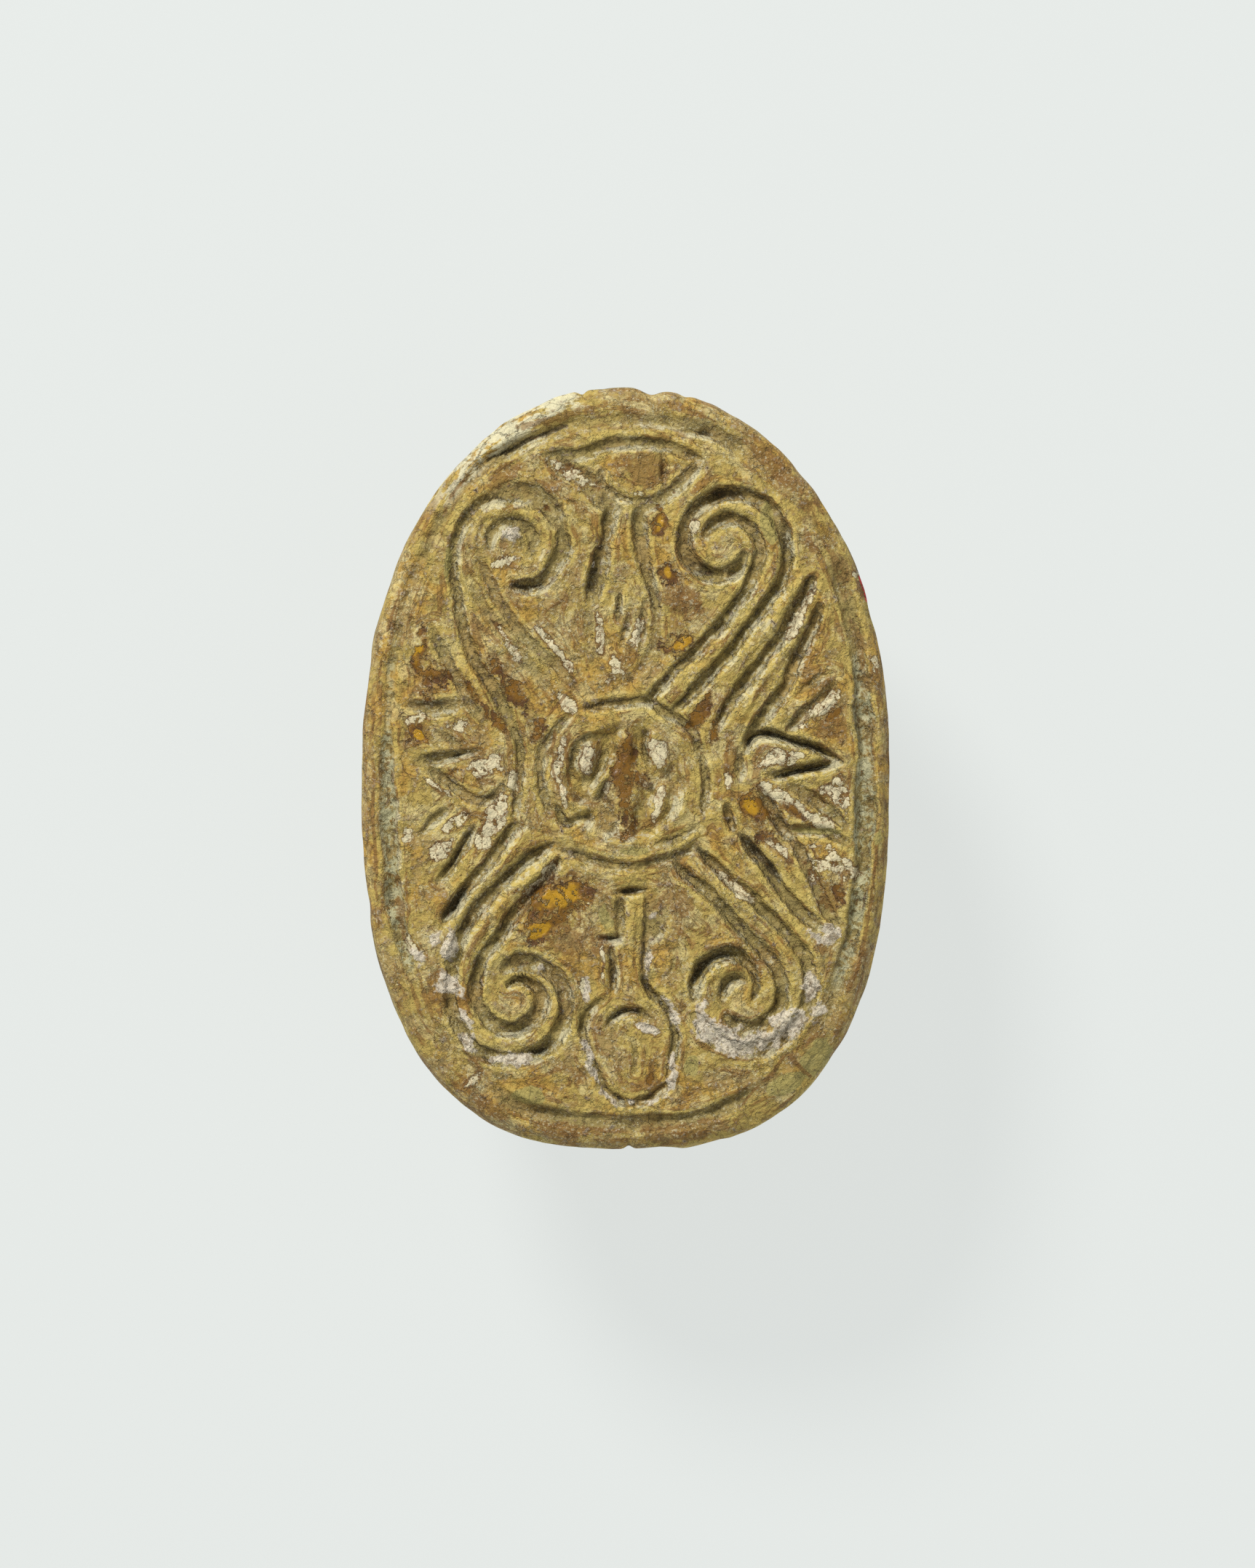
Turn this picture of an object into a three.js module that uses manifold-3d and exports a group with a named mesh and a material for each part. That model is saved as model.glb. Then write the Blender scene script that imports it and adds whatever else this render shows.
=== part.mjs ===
// A scarab seal: an oval seal carved in one piece of glazed stone, with a beetle on one side and an engraved
// design on the other. It lies on the beetle's back, so the engraved base faces up.
// Millimetres. +Z up, +Y towards the beetle's head. The origin is under the middle, at the lowest point.

import * as THREE from "three";
import { mergeVertices } from "three/addons/utils/BufferGeometryUtils.js";
import Module from "manifold-3d";

const wasm = await Module();
wasm.setup();

// ---- Driving dimensions ----
const LENGTH = 20;
const WIDTH = 13.84;
const HEIGHT = 8.6;
const HEAD_SQUARENESS = 2.13; // exponent of the oval outline at the head end: 2 is an ellipse
const TAIL_SQUARENESS = 2.65;

const PLATE_THICKNESS = 1.35; // the engraved base plate
const PLATE_ROUNDING = 0.28; // worn edge of the plate
const FLANK_INSET = 0.7; // the legs' zone stands back from the plate's edge
const SHOULDER_Z = 4.5; // where the flanks meet the rounded back
const LEG_RADIUS = 0.42;
const THREAD_HOLE_RADIUS = 0.8;
const THREAD_HOLE_Z = 6.0;

const GROOVE_DEPTH = 0.42;
const GROOVE_FLOOR = 0.45; // width of a groove's floor, as a share of its width at the face
const CLEARANCE = 0.3; // how far a cutter stands out of the stone
const OVERLAP = 0.1; // how far joined parts run into one another

// How finely the curves are faceted.
const OUTLINE_POINTS = 72;
const FLANK_POINTS = 48;
const DOME_SEGMENTS = 40;
const DOME_RINGS = 7;
const STROKE_STEP = 0.46;
const MIN_STROKE_STEPS = 4;
const WINDING_STEP = 35; // degrees
const PLATE_EDGE_STEPS = 2;
const BAR_SIDES = 6;
const THREAD_HOLE_SIDES = 18;
const EYE_SEGMENTS = [10, 6];
const WELD_DISTANCE = 1e-4;

// The rounded parts of the back: middle along Y, half width, half length, depth below the shoulder,
// and how far each runs up into the flanks. The body carries the wing cases and the pronotum.
const BODY = { y: -1.0, across: 6.3, along: 8.35, depth: 4.65, top: 6.5 };
const HEAD = { y: 7.1, across: 3.0, along: 2.5, depth: 1.35, top: 5.4 };
const BACK_SQUARENESS = 2.25;
const EYE_RADIUS = 0.85;
const EYE_PLACE = [2.85, 7.05, 4.75];

// ---- Solids ----
function toSolid(geometry) {
  const bare = geometry.index ? geometry.toNonIndexed() : geometry.clone();
  bare.deleteAttribute("normal");
  bare.deleteAttribute("uv");
  const merged = mergeVertices(bare, WELD_DISTANCE);
  return new wasm.Manifold(
    new wasm.Mesh({
      numProp: 3,
      vertProperties: merged.attributes.position.array,
      triVerts: new Uint32Array(merged.index.array),
    }),
  );
}

function toGeometry(solid) {
  const mesh = solid.getMesh();
  const geometry = new THREE.BufferGeometry();
  geometry.setAttribute("position", new THREE.Float32BufferAttribute(mesh.vertProperties, 3));
  geometry.setIndex(new THREE.Uint32BufferAttribute(mesh.triVerts, 1));
  geometry.computeVertexNormals();
  return geometry;
}

const signedPower = (value, power) => Math.sign(value) * Math.abs(value) ** power;
const toVectors = (pairs) => pairs.map(([x, y]) => new THREE.Vector2(x, y));
const squareness = (y) => (y > 0 ? HEAD_SQUARENESS : TAIL_SQUARENESS);

// The seal's oval outline, moved in by an inset.
function outline(inset, count) {
  return Array.from({ length: count }, (_, i) => {
    const turn = (2 * Math.PI * i) / count;
    const power = 2 / squareness(Math.sin(turn));
    return new THREE.Vector2(
      (WIDTH / 2 - inset) * signedPower(Math.cos(turn), power),
      (LENGTH / 2 - inset) * signedPower(Math.sin(turn), power),
    );
  });
}

// Half the width of that oval at a place along it.
function halfWidth(y, inset) {
  const reach = Math.min(1, Math.abs(y) / (LENGTH / 2 - inset));
  const power = squareness(y);
  return (WIDTH / 2 - inset) * (1 - reach ** power) ** (1 / power);
}

// A flat plate between two heights, with its edge rounded over where a rounding is given.
function slab(points, bottom, top, rounding = 0) {
  const geometry = new THREE.ExtrudeGeometry(new THREE.Shape(points), {
    depth: top - bottom - 2 * rounding,
    bevelEnabled: rounding > 0,
    bevelSize: rounding,
    bevelOffset: -rounding,
    bevelThickness: rounding,
    bevelSegments: PLATE_EDGE_STEPS,
  });
  return toSolid(geometry.translate(0, 0, bottom + rounding));
}

// A rounded part of the back, upside down, cut flat where it would pass below the surface it lies on.
function dome({ y, across, along, depth, top }) {
  const profile = [new THREE.Vector2(0, -depth)];
  for (let ring = DOME_RINGS - 1; ring >= 0; ring -= 1) {
    const rise = (ring / DOME_RINGS) * (Math.PI / 2);
    profile.push(new THREE.Vector2(Math.cos(rise), -depth * Math.sin(rise)));
  }
  profile.push(new THREE.Vector2(1, top - SHOULDER_Z), new THREE.Vector2(0, top - SHOULDER_Z));
  const geometry = new THREE.LatheGeometry(profile, DOME_SEGMENTS).rotateX(Math.PI / 2);
  const place = geometry.attributes.position;
  for (let i = 0; i < place.count; i += 1) {
    const radius = Math.hypot(place.getX(i), place.getY(i));
    const turn = Math.atan2(place.getY(i), place.getX(i));
    place.setXYZ(
      i,
      across * radius * signedPower(Math.cos(turn), 2 / BACK_SQUARENESS),
      y + along * radius * signedPower(Math.sin(turn), 2 / BACK_SQUARENESS),
      Math.max(0, SHOULDER_Z + place.getZ(i)),
    );
  }
  return toSolid(geometry);
}

// Height of the back's surface at a place in plan.
function backHeight(x, y) {
  const heights = [BODY, HEAD].map((part) => {
    const reaches = [x / part.across, (y - part.y) / part.along];
    const sum = reaches.reduce((total, reach) => total + Math.abs(reach) ** BACK_SQUARENESS, 0);
    const radius = sum ** (1 / BACK_SQUARENESS);
    return radius < 1 ? SHOULDER_Z - part.depth * Math.sqrt(1 - radius ** 2) : SHOULDER_Z;
  });
  return Math.max(0, Math.min(...heights));
}

// A round bar along a curve through a few places.
function bar(places, radius, steps) {
  const corners = Array.from({ length: BAR_SIDES }, (_, i) => (2 * Math.PI * i) / BAR_SIDES);
  const section = corners.map((turn) => [radius * Math.cos(turn), radius * Math.sin(turn)]);
  const extrudePath = new THREE.CatmullRomCurve3(places.map((place) => new THREE.Vector3(...place)));
  return toSolid(new THREE.ExtrudeGeometry(new THREE.Shape(toVectors(section)), { steps, extrudePath }));
}

// ---- The beetle ----
// The three legs of one side as they lie on the flank, (y, z) from the root to the foot.
const LEGS = [
  [[3.0, 4.6], [4.6, 6.0], [7.7, 6.75]],
  [[2.2, 4.6], [0.6, 6.3], [-2.4, 6.7]],
  [[-0.9, 4.6], [-3.2, 6.1], [-7.6, 6.7]],
];
const LEG_STEPS = 7;

function legs() {
  return [-1, 1].flatMap((side) =>
    LEGS.map((leg) => {
      const run = new THREE.SplineCurve(toVectors(leg)).getPoints(LEG_STEPS);
      const places = run.map(({ x: y, y: z }) => [side * halfWidth(y, FLANK_INSET), y, z]);
      return bar(places, LEG_RADIUS, LEG_STEPS);
    }),
  );
}

function eyes() {
  const [x, y, z] = EYE_PLACE;
  return [-x, x].map((side) => {
    const ball = new THREE.SphereGeometry(EYE_RADIUS, ...EYE_SEGMENTS);
    return toSolid(ball.translate(side, y, z));
  });
}

// Lines cut in the back, in plan: between the wing cases, and behind the pronotum.
const BACK_LINES = [
  [[0, 2.0], [0, -1.0], [0, -4.2], [0, -7.0], [0, -8.6], [0, -9.3]],
  [[-6.3, 1.2], [-5.6, 1.5], [-3.8, 2.1], [0, 2.5], [3.8, 2.1], [5.6, 1.5], [6.3, 1.2]],
];
const BACK_LINE_RADIUS = 0.2;
const STEPS_PER_PLACE = 3;

function backLines() {
  return BACK_LINES.map((line) => {
    const places = line.map(([x, y]) => [x, y, backHeight(x, y)]);
    return bar(places, BACK_LINE_RADIUS, STEPS_PER_PLACE * line.length);
  });
}

// The hole for the cord, from end to end.
function threadHole() {
  const length = LENGTH + 2 * CLEARANCE;
  const radius = THREAD_HOLE_RADIUS;
  const cutter = new THREE.CylinderGeometry(radius, radius, length, THREAD_HOLE_SIDES);
  return toSolid(cutter.translate(0, 0, THREAD_HOLE_Z));
}

// ---- The engraved face ----
// Points of a winding stroke about (x, y), from one radius and turn in degrees to another.
function winding(x, y, radii, turns, squash = 1) {
  const count = Math.max(3, Math.round(Math.abs(turns[1] - turns[0]) / WINDING_STEP));
  return Array.from({ length: count + 1 }, (_, i) => {
    const radius = THREE.MathUtils.lerp(...radii, i / count);
    const turn = THREE.MathUtils.degToRad(THREE.MathUtils.lerp(...turns, i / count));
    return [x + radius * Math.cos(turn), y + squash * radius * Math.sin(turn)];
  });
}

// One graver's stroke: a trough with sloping sides and a flat floor, along a smooth curve.
function stroke(points, width) {
  const places = points.map(([x, y]) => new THREE.Vector3(x, y, 0));
  const extrudePath = new THREE.CatmullRomCurve3(places, false, "centripetal");
  const steps = Math.max(MIN_STROKE_STEPS, Math.round(extrudePath.getLength() / STROKE_STEP));
  const floor = (width * GROOVE_FLOOR) / 2;
  const slope = (width / 2 - floor) / GROOVE_DEPTH;
  const lip = width / 2 + slope * CLEARANCE;
  const section = [[-CLEARANCE, -lip], [GROOVE_DEPTH, -floor], [GROOVE_DEPTH, floor], [-CLEARANCE, lip]];
  const geometry = new THREE.ExtrudeGeometry(new THREE.Shape(toVectors(section)), { steps, extrudePath });
  return toSolid(geometry.translate(0, 0, HEIGHT));
}

// Each stroke: the places that it runs through, and its width at the face.
const SCROLL_STROKES = [
  // head end, right: the outer and inner lines of the scroll, then the bands beside it
  [
    [[1.25, 1.45], [2.45, 2.75], [3.3, 3.85], [4.0, 4.75], ...winding(2.6, 5.85, [1.65, 0.55], [-15, 330])],
    0.42,
  ],
  [[[0.5, 1.7], [1.5, 2.8], [2.5, 3.85], [3.2, 4.8], ...winding(2.6, 5.85, [0.92, 0.62], [-15, 155])], 0.4],
  [[[2.35, 1.1], [3.0, 2.1], [3.7, 3.0], [4.5, 4.3], [4.9, 5.0]], 0.36],
  [[[3.1, 0.5], [3.6, 1.4], [4.35, 2.7], [5.1, 4.2]], 0.36],
  // head end, left
  [
    [[-3.0, 1.2], [-3.5, 2.1], [-4.1, 3.1], [-4.45, 4.5], ...winding(-2.95, 5.9, [1.65, 1.1], [185, -95])],
    0.42,
  ],
  [
    [[-1.2, 2.1], [-2.4, 3.2], [-3.2, 4.2], [-3.75, 5.1], ...winding(-3.1, 5.8, [0.85, 0.62], [180, -15])],
    0.36,
  ],
  [[[-1.9, 2.0], [-2.5, 2.7], [-3.4, 3.7], [-4.0, 4.8]], 0.3],
  [[[-5.05, 3.6], [-4.6, 2.7], [-4.1, 1.7], [-3.7, 1.2]], 0.34],
  // tail end, left
  [[[-1.8, -2.4], [-2.5, -3.3], [-3.35, -4.3], ...winding(-2.95, -5.95, [1.05, 0.65], [150, 365])], 0.42],
  [[[-2.0, -2.0], [-3.3, -3.0], [-4.1, -4.0], ...winding(-2.95, -6.15, [1.75, 1.05], [150, 455])], 0.4],
  [[[-2.9, -1.4], [-3.9, -2.7], [-4.8, -3.9]], 0.4],
  // tail end, right
  [
    [
      [1.3, -2.5], [2.1, -3.2], [3.0, -4.1], [3.8, -5.0],
      ...winding(2.9, -5.85, [1.15, 1.12], [10, -200]),
      ...winding(2.9, -5.85, [1.05, 0.5], [-235, -380]),
    ],
    0.42,
  ],
  [
    [[1.9, -2.15], [2.8, -3.0], [3.7, -3.8], [4.5, -4.8], ...winding(3.1, -5.75, [1.7, 1.5], [5, -150])],
    0.42,
  ],
  [[[3.1, -1.85], [3.8, -2.8], [4.2, -3.3], [5.0, -4.1]], 0.4],
];

// The ring in the middle, and the shallow lines inside it.
const ROUNDEL_STROKES = [
  [winding(-0.1, -0.42, [2.05, 2.05], [-25, 205], 1.06), 0.34],
  [winding(-0.1, -0.42, [2.1, 2.1], [222, 318], 1.04), 0.3],
  [winding(-0.05, -0.4, [1.4, 1.4], [28, 165], 1.03), 0.3],
  [[[-0.4, 0.75], [-0.35, 0.2], [-0.65, -0.2], [-1.0, -0.6]], 0.3],
  [[[0.4, 0.75], [0.42, 0.2], [0.5, -0.5], [0.3, -1.3]], 0.3],
  [[[-1.7, -1.1], [-1.45, -1.4], [-1.1, -1.1]], 0.3],
];

// The pointed leaves on both sides of the ring.
const LEAF_STROKES = [
  [[[3.1, 0.5], [3.7, 0.95], [4.9, 0.6], [5.6, 0.25]], 0.34],
  [[[5.5, 0.15], [4.4, -0.1], [3.6, -0.2], [3.0, -0.35]], 0.34],
  [[[-5.4, 0.15], [-4.5, 0.35], [-3.8, 0.5]], 0.28],
  [[[-5.2, 0.0], [-4.3, -0.6], [-3.5, -0.75]], 0.3],
  [[[-5.4, 1.55], [-4.9, 1.5], [-4.4, 1.65]], 0.26],
  [[[4.25, 1.15], [4.9, 1.7], [5.4, 2.2]], 0.26],
  [[[3.55, -0.75], [4.0, -1.4], [4.9, -1.55], [5.7, -1.65]], 0.28],
  [[[-4.6, -1.05], [-5.1, -1.45], [-5.5, -1.85]], 0.26],
];

// The flower on its stem at the head end, and the lute-shaped ornament at the tail end.
const STEM_STROKES = [
  [[[-1.6, 8.1], [-0.6, 7.1], [-0.65, 5.8], [-0.9, 4.3], [-0.75, 2.9], [-0.3, 2.2]], 0.36],
  [[[1.75, 7.95], [0.7, 7.05], [0.35, 5.8], [0.7, 4.1], [0.6, 3.0], [0.1, 2.25]], 0.36],
  [[[-2.1, 8.15], [-1.1, 8.3], [0.1, 8.48], [1.2, 8.38], [1.9, 8.1]], 0.34],
  [[[-0.3, -3.15], [-0.2, -4.4], [-0.4, -5.8]], 0.3],
  [
    [
      [0.5, -3.15], [0.58, -4.1], [0.5, -5.4], [0.9, -5.95],
      ...winding(0.08, -7.1, [1.22, 1.15], [35, -215], 1.25),
    ],
    0.34,
  ],
  [[[-0.45, -6.8], [0.1, -6.4], [0.65, -6.6]], 0.26],
];

// The border line: a shallow ring with the same oval as the edge.
const BORDER_WIDTH = 0.42;
const BORDER_INSET = 0.68;

function borderLine() {
  const ring = new THREE.Shape(outline(BORDER_INSET - BORDER_WIDTH / 2, FLANK_POINTS));
  ring.holes.push(new THREE.Path(outline(BORDER_INSET + BORDER_WIDTH / 2, FLANK_POINTS)));
  const depth = GROOVE_DEPTH + CLEARANCE;
  const geometry = new THREE.ExtrudeGeometry(ring, { depth, bevelEnabled: false });
  return toSolid(geometry.translate(0, 0, HEIGHT - GROOVE_DEPTH));
}

// Chips broken from the rim: flat cuts that slope down towards the edge, as [turn, reach, tilt]: turn and
// tilt in degrees, reach from the middle to where the cut starts.
const CHIPS = [
  [-56, 8.95, 24],
  [-64, 9.3, 20],
  [118, 9.35, 16],
];
const CHIP_SIZE = [3, 1.5, 1];

function chips() {
  return CHIPS.map(([turn, reach, tilt]) => {
    const block = new THREE.BoxGeometry(...CHIP_SIZE).translate(0, CHIP_SIZE[1] / 2, CHIP_SIZE[2] / 2);
    block.rotateX(-THREE.MathUtils.degToRad(tilt)).translate(0, reach, HEIGHT);
    return toSolid(block.rotateZ(THREE.MathUtils.degToRad(turn - 90)));
  });
}

// ---- The seal ----
function carve() {
  const raised = [
    slab(outline(0, OUTLINE_POINTS), HEIGHT - PLATE_THICKNESS, HEIGHT, PLATE_ROUNDING),
    slab(outline(FLANK_INSET, FLANK_POINTS), SHOULDER_Z - OVERLAP, HEIGHT - PLATE_THICKNESS / 2),
    ...[BODY, HEAD].map(dome),
    ...legs(),
    ...eyes(),
  ];
  const engraved = [...SCROLL_STROKES, ...ROUNDEL_STROKES, ...LEAF_STROKES, ...STEM_STROKES];
  const cuts = [
    borderLine(),
    threadHole(),
    ...backLines(),
    ...chips(),
    ...engraved.map(([points, width]) => stroke(points, width)),
  ];
  const body = raised.reduce((whole, part) => whole.add(part));
  return body.subtract(cuts.reduce((whole, part) => whole.add(part)));
}

const GLAZED_STEATITE = new THREE.MeshStandardMaterial({ color: 0xb9a06a, roughness: 0.75, metalness: 0 });

const scarab = new THREE.Mesh(toGeometry(carve()), GLAZED_STEATITE);
scarab.name = "scarab";

const group = new THREE.Group();
group.add(scarab);

export default group;
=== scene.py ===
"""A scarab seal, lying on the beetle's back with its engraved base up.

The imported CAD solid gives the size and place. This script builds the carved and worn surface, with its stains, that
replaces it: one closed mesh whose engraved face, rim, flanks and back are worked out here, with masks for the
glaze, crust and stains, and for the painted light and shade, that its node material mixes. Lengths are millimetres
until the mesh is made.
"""

import itertools
import math

import bpy
import numpy as np
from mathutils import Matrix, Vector


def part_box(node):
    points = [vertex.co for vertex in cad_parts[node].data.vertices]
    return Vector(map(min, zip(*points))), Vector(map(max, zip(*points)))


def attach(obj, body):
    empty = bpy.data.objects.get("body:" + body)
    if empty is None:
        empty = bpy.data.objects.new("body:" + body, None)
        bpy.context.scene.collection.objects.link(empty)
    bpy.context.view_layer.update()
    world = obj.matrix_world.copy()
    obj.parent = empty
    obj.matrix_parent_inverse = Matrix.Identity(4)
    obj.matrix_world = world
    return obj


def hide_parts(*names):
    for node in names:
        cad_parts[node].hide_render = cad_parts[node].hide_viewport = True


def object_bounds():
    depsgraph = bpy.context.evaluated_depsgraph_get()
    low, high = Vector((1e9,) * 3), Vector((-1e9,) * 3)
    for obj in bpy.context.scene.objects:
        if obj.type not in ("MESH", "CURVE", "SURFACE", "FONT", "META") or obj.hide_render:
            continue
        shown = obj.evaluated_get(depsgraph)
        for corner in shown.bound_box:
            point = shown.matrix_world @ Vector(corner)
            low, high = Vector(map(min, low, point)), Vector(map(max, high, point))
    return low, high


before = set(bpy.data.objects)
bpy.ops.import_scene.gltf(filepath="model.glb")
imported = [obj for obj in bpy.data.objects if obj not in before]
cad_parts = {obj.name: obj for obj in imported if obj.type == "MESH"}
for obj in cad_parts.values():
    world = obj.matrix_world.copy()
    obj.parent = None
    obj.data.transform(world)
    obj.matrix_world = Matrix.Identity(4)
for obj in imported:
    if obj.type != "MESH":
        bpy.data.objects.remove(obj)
cad_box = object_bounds()

MM = 0.001
seal_low, seal_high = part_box("scarab")
LENGTH = (seal_high[1] - seal_low[1]) / MM
WIDTH = (seal_high[0] - seal_low[0]) / MM
HEIGHT = (seal_high[2] - seal_low[2]) / MM

# ---- sizes, as in the CAD part
HEAD_SQUARENESS = 2.13
TAIL_SQUARENESS = 2.65
BACK_SQUARENESS = 2.25
PLATE_THICKNESS = 1.35
FLANK_INSET = 0.7
SHOULDER_Z = 4.5
BODY = (-1.0, 6.3, 8.35, 4.65)  # middle along Y, half width, half length, depth below the shoulder
HEAD = (7.1, 3.0, 2.5, 1.35)
EYE_PLACE = (2.85, 7.05, 4.75)
EYE_RADIUS = 0.85
LEG_RADIUS = 0.42
LEG_OUTLINE = 0.2  # how deep the lines beside each leg are cut
LEGS = (
    ((3.0, 4.6), (4.6, 6.0), (7.7, 6.75)),
    ((2.2, 4.6), (0.6, 6.3), (-2.4, 6.7)),
    ((-0.9, 4.6), (-3.2, 6.1), (-7.6, 6.7)),
)
THREAD_HOLE_Z = 6.0  # the hole itself isn't cut here: only the hollow at each of its ends is
THREAD_MOUTH = (1.25, 0.35)  # radius of the hollow worn about each end of the hole, and how far inside the end it lies

FACE_CELLS = 240  # the engraved face is a square grid of this many cells a side, wrapped to the oval
BACK_CELLS = FACE_CELLS // 2
FLANK_ROWS = 18
FAR_OFF = 9.0  # more than any distance that matters
RIM_PROFILE = (  # how far in from the outline, and how far below the face
    (0.62, 0.00), (0.52, 0.01), (0.42, 0.03), (0.33, 0.06), (0.25, 0.10), (0.17, 0.16), (0.10, 0.24), (0.05, 0.34),
    (0.015, 0.46), (0.0, 0.60), (0.0, 0.78), (0.0, 0.94), (0.02, 1.10), (0.08, 1.23), (0.18, 1.32), (0.38, 1.35),
    (0.70, 1.35),
)


# ---- noise
def hashed(lattice, seed):
    """A repeatable number from 0 to 1 for each lattice place."""
    n = seed * 974634777
    for axis, prime in zip(lattice, (374761393, 668265263, 1103515245)):
        n = n + axis * prime
    n = n & 0xFFFFFFFF
    n = ((n ^ (n >> 13)) * 1274126177) & 0xFFFFFFFF
    n = ((n ^ (n >> 16)) * 2246822519) & 0xFFFFFFFF
    return ((n ^ (n >> 15)) & 0xFFFFFF) / 0xFFFFFF


def noise(axes, scale, seed=0):
    """Smooth noise from -1 to 1 at the places that the coordinate arrays give, with lumps 1 / scale across."""
    places = [axis * scale + 1000.5 + seed * 17.13 for axis in axes]
    low = [np.floor(place).astype(np.int64) for place in places]
    part = [place - base for place, base in zip(places, low)]
    part = [f * f * f * (f * (f * 6 - 15) + 10) for f in part]
    total = 0
    for corner in itertools.product((0, 1), repeat=len(axes)):
        weight = 1
        for step, f in zip(corner, part):
            weight = weight * (f if step else 1 - f)
        total = total + weight * hashed([base + step for base, step in zip(low, corner)], seed)
    return total * 2 - 1


def fractal(axes, scale, octaves=4, seed=0, gain=0.55):
    """Several octaves of noise, mostly between -1 and 1."""
    amounts = [gain**octave for octave in range(octaves)]
    layers = [amount * noise(axes, scale * 2.03**o, seed + 31 * o) for o, amount in enumerate(amounts)]
    return sum(layers) / sum(amounts) * 1.7


def smooth(low, high, value):
    """0 at low, 1 at high, and smooth between; high may be the smaller."""
    t = np.clip((value - low) / (high - low), 0, 1)
    return t * t * (3 - 2 * t)


def between(a, b, c, d, value):
    """1 from b to c, and 0 before a and past d."""
    return smooth(a, b, value) * (1 - smooth(c, d, value))


def smooth_min(a, b, blend):
    """The smaller of two values, with the corner where they cross rounded over."""
    h = np.clip(0.5 + 0.5 * (b - a) / blend, 0, 1)
    return b * (1 - h) + a * h - blend * h * (1 - h)


# ---- the oval
def oval_gap(x, y, across, along_head, along_tail, power_head, power_tail):
    """About how far outside an oval a place is; less than 0 inside it."""
    power = np.where(y > 0, power_head, power_tail)
    along = np.where(y > 0, along_head, along_tail)
    u, v = np.abs(x) / across + 1e-9, np.abs(y) / along + 1e-9
    reach = (u**power + v**power) ** (1 / power)
    slope = reach ** (1 - power) * np.hypot(u ** (power - 1) / across, v ** (power - 1) / along)
    return (reach - 1) / np.maximum(slope, 0.05)


def outline_gap(x, y, inset=0.0):
    along = LENGTH / 2 - inset
    return oval_gap(x, y, WIDTH / 2 - inset, along, along, HEAD_SQUARENESS, TAIL_SQUARENESS)


def outline_points(turn, inset):
    """The outline, moved in by an inset, at the given turns."""
    across, along = WIDTH / 2 - inset, LENGTH / 2 - inset
    heading = np.arctan2(along * np.sin(turn), across * np.cos(turn))
    c, s = np.cos(heading), np.sin(heading)
    power = np.where(s > 0, HEAD_SQUARENESS, TAIL_SQUARENESS)
    radius = ((np.abs(c) / across) ** power + (np.abs(s) / along) ** power) ** (-1 / power)
    return radius * c, radius * s


# ---- the engraving, in plan
WINDING_STEP = 24  # degrees


def winding(x, y, radii, turns):
    """Places winding about (x, y) from one radius and turn, in degrees, to another."""
    count = max(3, round(abs(turns[1] - turns[0]) / WINDING_STEP))
    places = []
    for share in (i / count for i in range(count + 1)):
        radius = radii[0] + (radii[1] - radii[0]) * share
        turn = math.radians(turns[0] + (turns[1] - turns[0]) * share)
        places.append((x + radius * math.cos(turn), y + radius * math.sin(turn)))
    return places


# Each stroke: its width, or its widths at even steps along it, its depth, and the places that it runs through.
SCROLL_HEAD_RIGHT = (
    ((0.3, 0.42), 0.4, [(1.25, 1.5), (2.0, 2.3), (2.8, 3.2), (3.35, 3.9), (3.8, 4.5), (4.1, 5.0)] +
     winding(2.6, 5.85, (1.66, 0.55), (-12, 335))),
    ((0.28, 0.36), 0.34, [(0.5, 1.72), (1.0, 2.3), (1.5, 2.8), (2.0, 3.25), (2.5, 3.8), (2.85, 4.3), (3.2, 4.8)] +
     winding(2.6, 5.85, (0.95, 0.6), (-20, 150))),
    (0.33, 0.4, [(2.35, 1.1), (2.6, 1.6), (3.0, 2.1), (3.4, 2.6), (3.7, 3.0), (4.1, 3.6), (4.5, 4.3), (4.9, 5.0)]),
    (0.34, 0.36, [(3.15, 0.6), (3.3, 0.95), (3.6, 1.4), (3.9, 1.8), (4.15, 2.2), (4.4, 2.8), (4.7, 3.4),
     (5.05, 4.2)]),
    (0.2, 0.2, [(4.45, 2.0), (4.7, 2.2), (5.0, 2.4), (5.3, 2.5)]),
)
SCROLL_HEAD_LEFT = (
    ((0.4, 0.3, 0.24), 0.25, [(-3.0, 1.2), (-3.25, 1.75), (-3.6, 2.3), (-4.0, 2.9), (-4.25, 3.5), (-4.42, 4.4),
     (-4.48, 5.3)] + winding(-2.93, 5.9, (1.5, 1.3), (172, 110))),
    (0.56, 0.24, winding(-2.93, 5.9, (1.34, 1.34), (115, 20))),
    ((0.44, 0.34), 0.32, winding(-2.93, 5.9, (1.32, 1.12), (20, -92))),
    (0.34, 0.16, [(-1.25, 2.15), (-1.9, 2.75), (-2.4, 3.2), (-2.9, 3.7), (-3.3, 4.3), (-3.6, 4.9), (-3.85, 5.5)]),
    (0.34, 0.24, winding(-2.93, 5.88, (0.64, 0.5), (190, -40))),
    (0.18, 0.14, winding(-2.9, 5.85, (0.3, 0.2), (160, -60))),
    (0.34, 0.12, [(-1.95, 2.0), (-2.5, 2.65), (-3.0, 3.2), (-3.4, 3.7), (-3.8, 4.3), (-4.0, 4.9)]),
    (0.34, 0.2, [(-5.05, 3.6), (-4.85, 3.1), (-4.6, 2.7), (-4.3, 2.2), (-4.05, 1.7), (-3.7, 1.2)]),
)
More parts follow.
